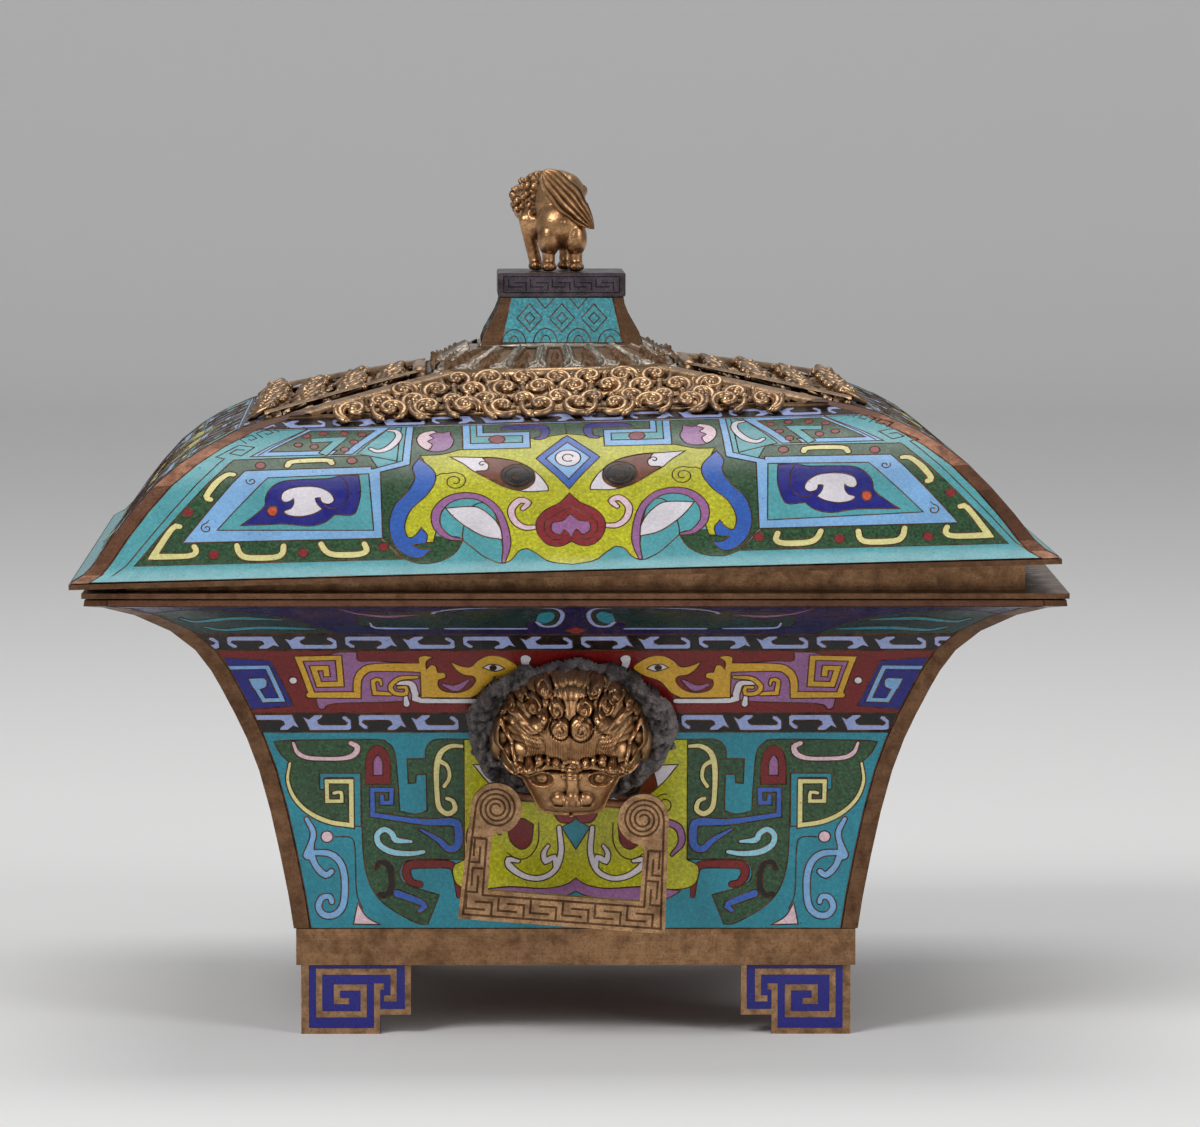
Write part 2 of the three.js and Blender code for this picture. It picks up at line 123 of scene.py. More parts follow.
# %% Camera, stage and lamps
PHOTO_WIDTH = 1200
FOCAL_PIXELS = 7008
SENSOR = 36.0
LOOKS_DOWN = 4.444
LOOKS_ASIDE = -0.144

camera = bpy.data.objects.new("camera", bpy.data.cameras.new("camera"))
camera.data.sensor_width = SENSOR
camera.data.lens = FOCAL_PIXELS / PHOTO_WIDTH * SENSOR
camera.data.clip_end = 20
camera.location = (0.0071, -2.2697, 0.3179)
camera.rotation_euler = (math.radians(90 - LOOKS_DOWN), 0, math.radians(LOOKS_ASIDE))
bpy.context.scene.collection.objects.link(camera)
bpy.context.scene.camera = camera
bpy.context.scene.view_settings.view_transform = "Standard"


def sweep(name, line, half_width):
    """A sheet swept sideways: point (t, s) is line(t) at a distance s to the left or right."""
    y, z = line
    x = np.array([-half_width, half_width])
    grid = np.stack(np.broadcast_arrays(x[None, :], y[:, None], z[:, None]), -1).reshape(-1, 3)
    rows = np.arange(len(y) - 1)[:, None] * 2
    faces = (rows + np.array([0, 1, 3, 2])).tolist()
    mesh = bpy.data.meshes.new(name)
    mesh.from_pydata(grid.tolist(), [], faces)
    mesh.polygons.foreach_set("use_smooth", np.ones(len(faces), bool))
    thing = bpy.data.objects.new(name, mesh)
    bpy.context.scene.collection.objects.link(thing)
    return thing


BACK = 3.4
WIDE = 14.0
BEND = 0.7
STAGE_TOP = 5.0
bend = np.linspace(0, math.pi / 2, 24)
floor_y = np.concatenate([[-WIDE], BACK + BEND * np.sin(bend), [BACK + BEND]])
floor_z = np.concatenate([[0.0], BEND - BEND * np.cos(bend), [STAGE_TOP]])
stage = sweep("stage", (floor_y, floor_z), WIDE)
paper = bpy.data.materials.new("pale_paper")
paper.use_nodes = True
paper_shader = paper.node_tree.nodes["Principled BSDF"]
paper_shader.inputs["Base Color"].default_value = srgb(244, 243, 241)
paper_shader.inputs["Roughness"].default_value = 0.9
paper_shader.inputs["Specular IOR Level"].default_value = 0.1
stage.data.materials.append(paper)

world = bpy.data.worlds.new("studio")
bpy.context.scene.world = world
world.use_nodes = True
world.node_tree.nodes["Background"].inputs["Color"].default_value = (0.56, 0.57, 0.6, 1)
world.node_tree.nodes["Background"].inputs["Strength"].default_value = 0.5


def softbox(name, at, towards, size, watts):
    """A rectangular lamp. Its -Z axis is turned along the line from the lamp to its target."""
    lamp = bpy.data.lights.new(name, "AREA")
    lamp.shape = "RECTANGLE"
    lamp.size, lamp.size_y = size
    lamp.energy = watts
    thing = bpy.data.objects.new(name, lamp)
    thing.location = at
    line = np.array(at) - np.array(towards)
    across = math.atan2(line[0], -line[1])
    rise = math.atan2(math.hypot(line[0], line[1]), line[2])
    thing.rotation_euler = (rise, 0, across)
    bpy.context.scene.collection.objects.link(thing)


MIDDLE = (0, 0, 0.13)
softbox("key_lamp", (-1.5, -2.0, 2.0), MIDDLE, (1.2, 1.2), 39)
softbox("fill_lamp", (2.3, -2.1, 1.5), MIDDLE, (1.2, 1.8), 28)
softbox("top_lamp", (0, 0.5, 1.9), MIDDLE, (1.2, 1.0), 10)
print("camera, stage and three lamps are ready")

# %% [markdown]
# A flat sheet is easier to draw on than a curved one. The walls and the roof bend only one way,
# so each can be unrolled: `across` is measured sideways and `along` up the curve of the sheet.
# The outline's points are the ones that the CAD model uses. A point goes back on the sheet by
# reading the outline at its `along`, and a height lifts it along the sheet's normal.

# %% The curved sheets
WALL = np.array([
    [88.4, 33.7], [89.9, 44], [92.4, 57.6], [95.2, 71.2], [98.6, 84.6], [102.2, 95], [105.6, 102.8],
    [110, 112], [112.6, 117], [117.2, 123.8], [124.5, 130.4], [134.9, 136.2], [143.7, 139.2],
    [149.4, 140.1],
])
ROOF = np.array([
    [150.2, 1.9], [146.4, 3.9], [143.2, 7], [137.8, 14.4], [131.7, 21.9], [124.9, 29.2],
    [117.5, 35], [110.1, 39.4], [100.7, 43.7], [91.6, 46.4],
])
ROOF_TOP = np.array([[91.2, 46.5], [66, 51.6], [41, 56.2]])
POST = 5.2
HIP = 4.2


def unrolled(outline):
    """How far along the outline each of its points is: the running sum of the steps' lengths."""
    return np.concatenate([[0], np.cumsum(np.hypot(*np.diff(outline, axis=0).T))])


def on_sheet(outline, flat, height):
    """Flat (across, along) points rise on the sheet: out and up are read from the outline at
    `along`, and height runs along the normal, whose slope is smoothed between the bends."""
    s = unrolled(outline)
    along = flat[:, 1]
    out = np.interp(along, s, outline[:, 0])
    up = np.interp(along, s, outline[:, 1])
    step = np.diff(outline, axis=0)
    slope = np.interp(along, (s[1:] + s[:-1]) / 2, np.arctan2(step[:, 1], step[:, 0]))
    normal_out = np.sin(slope)
    normal_up = -np.cos(slope)
    points = np.stack([flat[:, 0], -(out + normal_out * height), up + normal_up * height], 1)
    normals = np.stack([np.zeros_like(out), -normal_out, normal_up], 1)
    return points, normals


def sheet_border(outline, strip):
    """The unrolled panel between two strips: its half width is out less strip times
    the root of 1 + (change of out along the sheet) squared."""
    s = unrolled(outline)
    before = np.maximum(np.arange(len(outline)) - 1, 0)
    after = np.minimum(np.arange(len(outline)) + 1, len(outline) - 1)
    run = outline[after] - outline[before]
    half = outline[:, 0] - strip * np.hypot(1, run[:, 0] / np.hypot(*run.T))
    right = np.stack([half, s], 1)
    left = np.stack([-half, s], 1)[::-1]
    return np.concatenate([right, left])


print("wall unrolls to", round(unrolled(WALL)[-1], 1), "mm, roof to", round(unrolled(ROOF)[-1], 1))

# %% [markdown]
# A design is a list of cells, each one colour. A cell's outline is drawn with few points:
# the curve between them is a Catmull-Rom spline, and a point with a third number is a sharp
# corner. Hooks and scrolls are strokes, whose outline is worked out from the path of the brush.
# Because a later cell lies on top of the earlier ones, no outline has to avoid its neighbours.

# %% Drawing kit
STEP = 0.9
BEYOND = 170


def spline(points):
    """A smooth open run: each span is the cubic whose end slopes are half the distance between
    the neighbours. The spans are sampled about every STEP millimetres."""
    p = np.asarray(points, float)[:, :2]
    ends = np.concatenate([[2 * p[0] - p[1]], p, [2 * p[-1] - p[-2]]])
    out = []
    for a, b, c, d in zip(ends[:-3], ends[1:-2], ends[2:-1], ends[3:]):
        count = max(1, int(round(np.hypot(*(c - b)) / STEP)))
        t = (np.arange(count) / count)[:, None]
        out.append(0.5 * (2 * b + (c - a) * t + (2 * a - 5 * b + 4 * c - d) * t**2
                          + (3 * b - a - 3 * c + d) * t**3))
    return np.concatenate(out + [p[-1:]])


def path(points, closed=False):
    """A run through the points, smooth except at the sharp ones. A closed run has no seam."""
    marked = [len(p) > 2 for p in points]
    pts = [p[:2] for p in points]
    if closed:
        if not any(marked):
            run = spline(pts[-2:] + pts + pts[:2])
            start = len(spline(pts[-2:] + pts[:1])) - 1
            stop = len(run) - len(spline(pts[-1:] + pts[:2])) + 1
            loop = run[start:stop]
            return loop[:-1] if np.hypot(*(loop[0] - loop[-1])) < STEP / 4 else loop
        first = marked.index(True)
        pts = pts[first:] + pts[:first + 1]
        marked = marked[first:] + marked[:first + 1]
    breaks = [0] + [i for i in range(1, len(pts) - 1) if marked[i]] + [len(pts) - 1]
    runs = [spline(pts[a:b + 1])[:-1] for a, b in zip(breaks[:-1], breaks[1:])]
    if closed:
        return np.concatenate(runs)
    return np.concatenate(runs + [np.array(pts[-1:], float)])


def sharp(*points):
    """The same points, each marked as a sharp corner."""
    return [(*point, 1) for point in points]


def across_path(line):
    """The left-hand normals of a line, with a corner's normal stretched to keep the width."""
    d = np.diff(line, axis=0)
    d /= np.maximum(np.hypot(*d.T), 1e-9)[:, None]
    before = np.concatenate([d[:1], d])
    after = np.concatenate([d, d[-1:]])
    mid = before + after
    mid /= np.maximum(np.hypot(*mid.T), 0.3)[:, None]
    stretch = 1 / np.maximum((mid * after).sum(1), 0.6)
    return np.stack([-mid[:, 1], mid[:, 0]], 1) * stretch[:, None]


def stroke(points, width, square=False):
    """The outline of a brush stroke: the path moved half a width to each side, with round ends.
    Width is one number, or several spread evenly over the path's length."""
    line = path(points)
    s = unrolled(line)
    widths = np.atleast_1d(np.asarray(width, float))
    half = np.interp(s / s[-1], np.linspace(0, 1, len(widths)), widths)[:, None] / 2
    side = across_path(line) * half
    left = line + side
    right = (line - side)[::-1]
    if square:
        return np.concatenate([left, right])
    turn_by = np.linspace(0, np.pi, 7)[1:-1, None]
    tip = side[-1] * np.cos(turn_by) + np.array([side[-1][1], -side[-1][0]]) * np.sin(turn_by)
    tail = -side[0] * np.cos(turn_by) + np.array([-side[0][1], side[0][0]]) * np.sin(turn_by)
    return np.concatenate([left, line[-1] + tip, right, line[0] + tail])


def disc(x, y, radius, wide=1.0):
    """A circle, or an ellipse where `wide` isn't 1: centre plus radius times cosine and sine."""
    count = max(10, int(2 * np.pi * radius / STEP))
    a = np.arange(count) * 2 * np.pi / count
    return np.stack([x + wide * radius * np.cos(a), y + radius * np.sin(a)], 1)


def spiral(x, y, radius, turns, start=0.0, hand=1):
    """A wire's spiral: its radius shrinks evenly to a fifth as the angle runs on."""
    a = np.linspace(0, 2 * np.pi * turns, int(16 * turns) + 2)
    r = radius * np.linspace(1, 0.2, len(a))
    return np.stack([x + r * np.cos(start + hand * a), y + r * np.sin(start + hand * a)], 1)


def full_width(low, high):
    """The outline of a band that reaches beyond both edges of a sheet."""
    return np.array([[-BEYOND, low], [BEYOND, low], [BEYOND, high], [-BEYOND, high]])


class Design:
    """Cells of glaze, each with one or more outlines, and loose wires that lie over them."""

    def __init__(self, ground, middle=0.0):
        """The ground is the glaze where no cell lies, and the middle is where the mirror stands."""
        self.ground = ground
        self.middle = middle
        self.cells = []
        self.wires = []

    def cell(self, glaze, *outlines, both=True):
        """Adds one cell, and its mirror image beyond the middle line."""
        rings = [path(o, closed=True) if isinstance(o, list) else o for o in outlines]
        self.cells.append((glaze, rings))
        if both:
            self.cells.append((glaze, [self.mirrored(r) for r in rings]))

    def joined(self, glaze, half):
        """Adds one cell from its left half, which begins and ends on the middle line."""
        line = path(half)
        self.cells.append((glaze, [np.concatenate([line, self.mirrored(line)[::-1]])]))

    def wire(self, line, both=True):
        """Adds a loose wire, and its mirror image."""
        run = path(line) if isinstance(line, list) else line
        self.wires.append(run)
        if both:
            self.wires.append(self.mirrored(run))

    def mirrored(self, ring):
        """across becomes twice the middle less across."""
        return ring * [-1, 1] + [2 * self.middle, 0]


print("the drawing kit has paths, strokes, discs and spirals")

# %% [markdown]
# To lay a design on a sheet, every outline goes into one constrained triangulation, together with
# the lines where the sheet bends. No triangle then crosses an outline or a bend. Each triangle
# takes the glaze of the topmost cell over its middle, as a colour attribute on its corners, so
# colours meet in sharp lines and one enamel material serves every piece.
#
# The wires follow from the same triangles: wherever two cells meet, that edge carries a wire. A
# wire is a flat bar with bevelled sides, made for all the edges at once.

# %% Enamel skins and wires
GLAZES = {
    # The lid's pale turquoise and the walls' turquoise differ partly in their own tones and partly as painted
    # light: paler on the lid, deeper on the walls.
    "turquoise_pale_painted_light": ((82, 156, 164), 0.25), "turquoise": ((38, 130, 148), 0.3),
    "chartreuse": ((180, 178, 36), 0.45), "lapis": ((28, 28, 122), 0.35),
    "light_blue": ((124, 170, 214), 0.2), "mid_blue": ((50, 94, 176), 0.3),
    "dark_red": ((132, 40, 46), 0.35), "red": ((112, 18, 18), 0.35), "lilac": ((148, 98, 146), 0.3),
    "white": ((214, 208, 214), 0.15), "blush": ((216, 186, 196), 0.25), "cream": ((216, 208, 142), 0.2),
    "green": ((42, 74, 46), 1.0), "black": ((11, 10, 13), 0.2), "yellow": ((206, 158, 44), 0.25),
    "brown": ((104, 46, 20), 0.5), "orange": ((198, 84, 54), 0.4), "ice": ((140, 196, 212), 0.2),
    # The navy and the deep green are lapis and green darkened to paint the shade under the lip.
    "deep_green_painted_shade": ((14, 46, 46), 0.9), "navy_painted_shade": ((16, 16, 66), 0.4), "frost": ((150, 164, 212), 0.2),
    "worn_turquoise": ((74, 148, 160), 0.6),
}
WIRE_WIDTH = 0.5
SKIN = 0.12
WIRE_TOP = 0.2
WIRE_FOOT = 0.06
WIRE_FLAT = 0.6
WIRE_STUB = 0.3
LONGEST_MITRE = 1.6
SAME_SPOT = 1e-4


def inside(points, ring):
    """Whether each point is in a closed outline: the crossings of a ray to the right, counted up
    or down by the edge's direction, don't cancel out."""
    found = np.zeros(len(points), bool)
    low, high = ring.min(0), ring.max(0)
    near = np.flatnonzero(((points >= low) & (points <= high)).all(1))
    if not len(near):
        return found
    a, b = ring, np.roll(ring, -1, axis=0)
    y = points[near, 1, None]
    x = points[near, 0, None]
    spans = (a[:, 1] <= y) != (b[:, 1] <= y)
    rise = np.where(np.abs(b[:, 1] - a[:, 1]) < 1e-12, 1e-12, b[:, 1] - a[:, 1])
    hit = a[:, 0] + (y - a[:, 1]) * (b[:, 0] - a[:, 0]) / rise
    winding = np.where(spans & (hit > x), np.sign(b[:, 1] - a[:, 1]), 0).sum(1)
    found[near] = winding != 0
    return found


def renumbered(faces, count):
    """Out of count spots, those that the faces use, and each old spot's new number."""
    used = np.unique(faces)
    fresh = np.zeros(count, int)
    fresh[used] = np.arange(len(used))
    return used, fresh


def laid_out(design, border, bends=()):
    """Triangles of the whole sheet, the cell on top of each, and the edges where cells meet.
    Spots outside the border are dropped, and the rest are numbered afresh."""
    rings = [ring for _, outlines in design.cells for ring in outlines]
    points, edges = [], []
    for ring in [border] + rings:
        start = len(points)
        points.extend(ring.tolist())
        count = len(ring)
        edges.extend((start + i, start + (i + 1) % count) for i in range(count))
    reach = np.abs(border[:, 0]).max() + 1
    for level in bends:
        edges.append((len(points), len(points) + 1))
        points.extend([[-reach, level], [reach, level]])
    flat, _, faces, *_ = geometry.delaunay_2d_cdt(points, edges, [], 0, SAME_SPOT, False)
    flat = np.array([tuple(p) for p in flat])
    faces = np.array(faces)
    middles = flat[faces].mean(1)
    keep = inside(middles, border)
    faces, middles = faces[keep], middles[keep]
    top = np.zeros(len(faces), int)
    for number, (_, outlines) in enumerate(design.cells, 1):
        for ring in outlines:
            top[inside(middles, ring)] = number
    a, b = faces, np.roll(faces, -1, axis=1)
    sides = np.sort(np.stack([a.ravel(), b.ravel()], 1), axis=1)
    owner = np.repeat(top, 3)
    order = np.lexsort(sides.T)
    sides, owner = sides[order], owner[order]
    same = np.concatenate([(sides[1:] == sides[:-1]).all(1), [False]])
    partner = np.concatenate([[False], same[:-1]])
    meets = same & (owner != np.roll(owner, -1))
    rim = ~same & ~partner
    used, fresh = renumbered(faces, len(flat))
    return flat[used], fresh[faces], top, fresh[sides[meets | rim]]


def bars(flat, edges, width, foot, top):
    """Flat bars along edges, as (across, along, height) points and quads. At a point where two
    edges meet, both share one offset across the mean of their directions. Elsewhere each edge
    ends square. The section has four points: foot, shoulder, shoulder, foot."""
    a, b = flat[edges[:, 0]], flat[edges[:, 1]]
    direction = b - a
    length = np.maximum(np.hypot(*direction.T), 1e-9)[:, None]
    direction /= length
    normal = np.stack([-direction[:, 1], direction[:, 0]], 1)
    half_edges = np.concatenate([edges[:, 0], edges[:, 1]])
    away = np.concatenate([direction, -direction])
    order = np.argsort(half_edges, kind="stable")
    degree = np.bincount(half_edges, minlength=len(flat))
    first = np.concatenate([[0], np.cumsum(degree)[:-1]])
    joined = degree == 2
    offset = np.zeros_like(flat)
    ones = first[joined]
    tangent = away[order[ones]] - away[order[ones + 1]]
    size = np.hypot(*tangent.T)[:, None]
    tangent /= np.maximum(size, 1e-6)
    stretch = np.minimum(2 / np.maximum(size, 1e-6), LONGEST_MITRE)
    offset[joined] = np.stack([-tangent[:, 1], tangent[:, 0]], 1) * stretch
    rows = []
    for end, sign in ((0, -1), (1, 1)):
        at = edges[:, end]
        shared = joined[at][:, None]
        side = offset[at] * np.sign((offset[at] * normal).sum(1))[:, None]
        side = np.where(shared, side, normal) * width / 2
        point = flat[at] + np.where(shared, 0, direction * sign * width * WIRE_STUB)
        tip = degree[at] == 1
        for share, rise in ((-1, foot), (-WIRE_FLAT, top), (WIRE_FLAT, top), (1, foot)):
            height = np.where(tip, foot, rise)
            rows.append(np.column_stack([point + side * share, height]))
    count = len(edges)
    corners = np.arange(count)
    quads = [np.stack([corners + (k + step) * count for step in (0, 4, 5, 1)], 1) for k in range(3)]
    points = np.concatenate(rows)
    quads = np.concatenate(quads)[:, ::-1]
    spots, where = np.unique(np.round(points, 4), axis=0, return_inverse=True)
    return spots, where.ravel()[quads]


def as_piece(name, points, faces, material, normals=None, smooth=True):
    """Vertices and faces become an object at the origin, with one material."""
    mesh = bpy.data.meshes.new(name)
    mesh.from_pydata(points.tolist(), [], faces if isinstance(faces, list) else faces.tolist())
    mesh.polygons.foreach_set("use_smooth", np.full(len(mesh.polygons), smooth))
    if normals is not None:
        mesh.normals_split_custom_set_from_vertices(normals.tolist())
    mesh.materials.append(material)
    piece = bpy.data.objects.new(name, mesh)
    bpy.context.scene.collection.objects.link(piece)
    return piece


def finished(piece, body, hollow=None):
    """Gives a piece its body. A metal piece also gets `hollow`: how deep each of its
    points lies, from 0 to 1, as one number or as many as it has points."""
    if hollow is not None:
        marks = np.full(len(piece.data.vertices), hollow, np.float32)
        piece.data.attributes.new("hollow", "FLOAT", "POINT").data.foreach_set("value", marks)
    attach(piece, body)
    return piece


def glazed(mesh, design, top):
    """Writes each triangle's glaze on its corners, and how grainy that glaze is."""
    names = [design.ground] + [glaze for glaze, _ in design.cells]
    colours = np.array([srgb(*GLAZES[n][0]) for n in names])
    grains = np.array([GLAZES[n][1] for n in names])
    cells = np.repeat(top, 3)
    mesh.color_attributes.new("glaze", "FLOAT_COLOR", "CORNER").data.foreach_set(
        "color", colours[cells].astype(np.float32).ravel())
    mesh.attributes.new("grain", "FLOAT", "CORNER").data.foreach_set(
        "value", grains[cells].astype(np.float32))


def hoops(rows, columns):
    """The quads of a grid of spots whose rows are closed hoops."""
    at = np.arange(rows * columns).reshape(rows, columns)
    right = np.roll(at, -1, axis=1)
    return np.stack([at[:-1], at[1:], right[1:], right[:-1]], -1).reshape(-1, 4)


def drawn_lines(runs):
    """Loose runs as one list of points and edges."""
    points = np.concatenate(runs)
    starts = np.cumsum([0] + [len(r) for r in runs[:-1]])
    edges = np.concatenate([np.stack([np.arange(len(r) - 1), np.arange(1, len(r))], 1) + s
                            for r, s in zip(runs, starts)])
    return points, edges


print(len(GLAZES), "glazes are named")

# %% [markdown]
# Enamel is coloured glass. Up close its colour drifts a little, dark specks and pinholes sit in
# it, and the green glazes are mixed from grains of two colours. One node group makes these three
# effects from noise in object coordinates, and the enamel material feeds it the glaze that the
# triangles carry. Metal gets its own group: patches where the gilding has worn to brown bronze, a
# fine grain, and a third colour where a `hollow` attribute says that the casting is deep. On most
# metals that colour is near black: dirt, and painted shade standing in for the shade in the hollows.

# %% Node groups
def new_group(name, inputs, outputs):
    """A shader node group with float or colour sockets, given as name: starting value."""
    group = bpy.data.node_groups.new(name, "ShaderNodeTree")
    for sockets, way in ((inputs, "INPUT"), (outputs, "OUTPUT")):
        for socket, value in sockets.items():
            kind = "NodeSocketColor" if isinstance(value, tuple) else "NodeSocketFloat"
            made = group.interface.new_socket(socket, in_out=way, socket_type=kind)
            made.default_value = value
    return group, group.nodes.new("NodeGroupInput"), group.nodes.new("NodeGroupOutput")


def feed(tree, socket, value):
    """Links a socket to the one that is given, or else sets its value."""
    if isinstance(value, bpy.types.NodeSocket):
        tree.links.new(value, socket)
    else:
        socket.default_value = value


def node(tree, kind, **inputs):
    """The first output of a new node whose inputs are given by name."""
    made = tree.nodes.new(kind)
    for name, value in inputs.items():
        feed(tree, made.inputs[name], value)
    return made.outputs[0]


def object_place(tree):
    """Where a point is on its own object, in metres."""
    return tree.nodes.new("ShaderNodeTexCoord").outputs["Object"]


def noise(tree, scale, detail, rough=0.5, stretch=None):
    """Noise in object coordinates. `scale` counts its blots in a metre."""
    place = object_place(tree)
    if stretch:
        place = node(tree, "ShaderNodeMapping", Vector=place, Scale=stretch)
    return node(tree, "ShaderNodeTexNoise", Vector=place, Scale=scale, Detail=detail, Roughness=rough)


def ramp(tree, value, low, high, out_low=0.0, out_high=1.0):
    """A value between low and high becomes one between out_low and out_high, and stops there."""
    limits = {"From Min": low, "From Max": high, "To Min": out_low, "To Max": out_high}
    return node(tree, "ShaderNodeMapRange", Value=value, **limits)


def blend(tree, share, one, two, way="MIX"):
    """Mixes two colours by a share."""
    made = tree.nodes.new("ShaderNodeMix")
    made.data_type = "RGBA"
    made.blend_type = way
    for place, value in ((0, share), (6, one), (7, two)):
        feed(tree, made.inputs[place], value)
    return made.outputs[2]


def maths(tree, way, one, two):
    """One arithmetic step."""
    made = tree.nodes.new("ShaderNodeMath")
    made.operation = way
    feed(tree, made.inputs[0], one)
    feed(tree, made.inputs[1], two)
    return made.outputs[0]


def drifting(tree, colour, scale, detail, low, high):
    """A colour whose tone drifts from place to place, between low and high times what it was."""
    tone = ramp(tree, noise(tree, scale, detail), 0.3, 0.7, low, high)
    grey = node(tree, "ShaderNodeCombineColor", Red=tone, Green=tone, Blue=tone)
    return blend(tree, 1.0, colour, grey, "MULTIPLY")


def glass_grain():
    """Drift of tone, mixed grains and pinholes in a glaze."""
    group, given, result = new_group(
        "glass_grain", {"Colour": (1.0, 1.0, 1.0, 1.0), "Grain": 0.3},
        {"Colour": (1.0, 1.0, 1.0, 1.0), "Roughness": 0.3, "Height": 0.5})
    colour, grain = given.outputs[:2]
    toned = drifting(group, colour, 70, 3, 0.88, 1.1)
    fine = noise(group, 1150, 2, 0.6)
    pale = blend(group, 1.0, toned, (1.75, 1.8, 1.5, 1.0), "MULTIPLY")
    dark = blend(group, 1.0, toned, (0.45, 0.5, 0.5, 1.0), "MULTIPLY")
    mixed = blend(group, maths(group, "MULTIPLY", ramp(group, fine, 0.52, 0.66), grain), toned, pale)
    mixed = blend(group, maths(group, "MULTIPLY", ramp(group, fine, 0.47, 0.36), grain), mixed, dark)
    from_middle = node(group, "ShaderNodeTexVoronoi", Vector=object_place(group), Scale=430)
    some = ramp(group, noise(group, 160, 2), 0.5, 0.6)
    pit = maths(group, "MULTIPLY", ramp(group, from_middle, 0.13, 0.07), some)
    pitted = blend(group, maths(group, "MULTIPLY", pit, 0.75), mixed, (0.02, 0.02, 0.02, 1.0))
    group.links.new(pitted, result.inputs["Colour"])
    group.links.new(ramp(group, noise(group, 240, 3), 0.3, 0.7, 0.2, 0.36), result.inputs["Roughness"])
    height = maths(group, "SUBTRACT", noise(group, 300, 3), pit)
    group.links.new(height, result.inputs["Height"])
    return group


def metal_age():
    """Gilding worn in patches, fine grain, and a third colour in the hollows: mostly dirt and painted shade.
    """
    group, given, result = new_group(
        "metal_age",
        {"Gilt": (0.5, 0.3, 0.14, 1.0), "Bare": (0.2, 0.1, 0.05, 1.0), "Dirt": (0.03, 0.02, 0.015, 1.0),
         "Wear": 0.4, "Brushed": 0.0, "Hollow": 0.0, "Roughness": 0.35},
        {"Colour": (1.0, 1.0, 1.0, 1.0), "Roughness": 0.35, "Height": 0.5})
    gilt, bare, hollow_colour, wear, brushed, hollow, rough = given.outputs[:7]
    patches = noise(group, 210, 5, 0.65)
    worn = maths(group, "MULTIPLY", ramp(group, patches, 0.42, 0.68), wear)
    coloured = blend(group, worn, gilt, bare)
    streaks = ramp(group, noise(group, 1, 4, 0.7, (60, 60, 3600)), 0.35, 0.7)
    coloured = blend(group, maths(group, "MULTIPLY", streaks, brushed), coloured, bare)
    coloured = drifting(group, coloured, 22, 2, 0.84, 1.12)
    fine = noise(group, 1500, 2)
    flecked = blend(group, ramp(group, fine, 0.5, 0.7, 0.0, 0.55), coloured, bare)
    hollow_tinted = blend(group, hollow, flecked, hollow_colour)
    group.links.new(hollow_tinted, result.inputs["Colour"])
    spread = maths(group, "ADD", rough, ramp(group, patches, 0.3, 0.7, -0.06, 0.12))
    group.links.new(maths(group, "ADD", spread, maths(group, "MULTIPLY", hollow, 0.25)),
                    result.inputs["Roughness"])
    height = maths(group, "ADD", fine, maths(group, "MULTIPLY", noise(group, 420, 3), 1.4))
    group.links.new(height, result.inputs["Height"])
    return group


GLASS = glass_grain()
METAL = metal_age()


def material_of(name, group, bump, metallic, **values):
    """A material whose colour, roughness and bump come from one node group."""
    made = bpy.data.materials.new(name)
    made.use_nodes = True
    tree = made.node_tree
    shader = tree.nodes["Principled BSDF"]
    shader.inputs["Metallic"].default_value = metallic
    effect = tree.nodes.new("ShaderNodeGroup")
    effect.node_tree = group
    for socket, value in values.items():
        if isinstance(value, str):
            reader = tree.nodes.new("ShaderNodeAttribute")
            reader.attribute_name = value
            out = "Color" if effect.inputs[socket].type == "RGBA" else "Fac"
            tree.links.new(reader.outputs[out], effect.inputs[socket])
        else:
            effect.inputs[socket].default_value = value
    tree.links.new(effect.outputs["Colour"], shader.inputs["Base Color"])
    tree.links.new(effect.outputs["Roughness"], shader.inputs["Roughness"])
    raised = node(tree, "ShaderNodeBump", Height=effect.outputs["Height"], Strength=bump[0], Distance=bump[1])
    tree.links.new(raised, shader.inputs["Normal"])
    return made


def metal(name, gilt, bare, hollow_colour=None, bump=(0.3, 0.0002), metallic=1.0, **values):
    """A metal: its gilding, what shows where that has worn, and the third colour in a casting's hollows,
    mostly dirt and painted shade.
    """
    if hollow_colour:
        values.update(Dirt=srgb(*hollow_colour), Hollow="hollow")
    return material_of(name, METAL, bump, metallic, Gilt=srgb(*gilt), Bare=srgb(*bare), **values)


ENAMEL = material_of("enamel", GLASS, (0.25, 0.0002), 0.0, Colour="glaze", Grain="grain")
# The wires are dark: partly oxidised brass, partly a painted reflection of dark surroundings, so that they
# stay dark outlines under bright lamps.
WIRE_PAINTED_REFLECTION = metal("oxidised_wire_painted_reflection", (108, 78, 56), (48, 32, 26), None, (0.2, 0.0001), Wear=0.9, Roughness=0.45)
# The third colours, near black, darken the castings' hollows: dirt, and painted shade. The grey gilt's third
# colour is its gilding, which stayed in the cups.
GILT = metal("gilt_bronze", (200, 156, 112), (122, 84, 56), (24, 15, 11), Wear=0.8, Roughness=0.3)
OPEN_GILT = metal("openwork_gilt", (204, 166, 124), (106, 84, 74), (20, 13, 10), Wear=0.9, Roughness=0.3)
PALE_GILT = metal("pale_gilt", (196, 154, 114), (104, 77, 57), (44, 28, 20), (0.35, 0.0002),
                  Wear=0.85, Roughness=0.3)
GREY_GILT = metal("grey_gilt", (188, 176, 162), (118, 118, 108), (128, 96, 70), (0.4, 0.0002),
                  Wear=0.9, Roughness=0.42)
COPPER = metal("copper_strip", (142, 100, 78), (88, 60, 48), Wear=0.8, Brushed=0.2, Roughness=0.36)
BRONZE = metal("brushed_bronze", (174, 134, 98), (104, 74, 52), Wear=0.7, Brushed=0.4, Roughness=0.3)
BROWN_BRONZE = metal("brown_bronze", (136, 102, 76), (84, 58, 42), Wear=0.8, Brushed=0.25, Roughness=0.32)
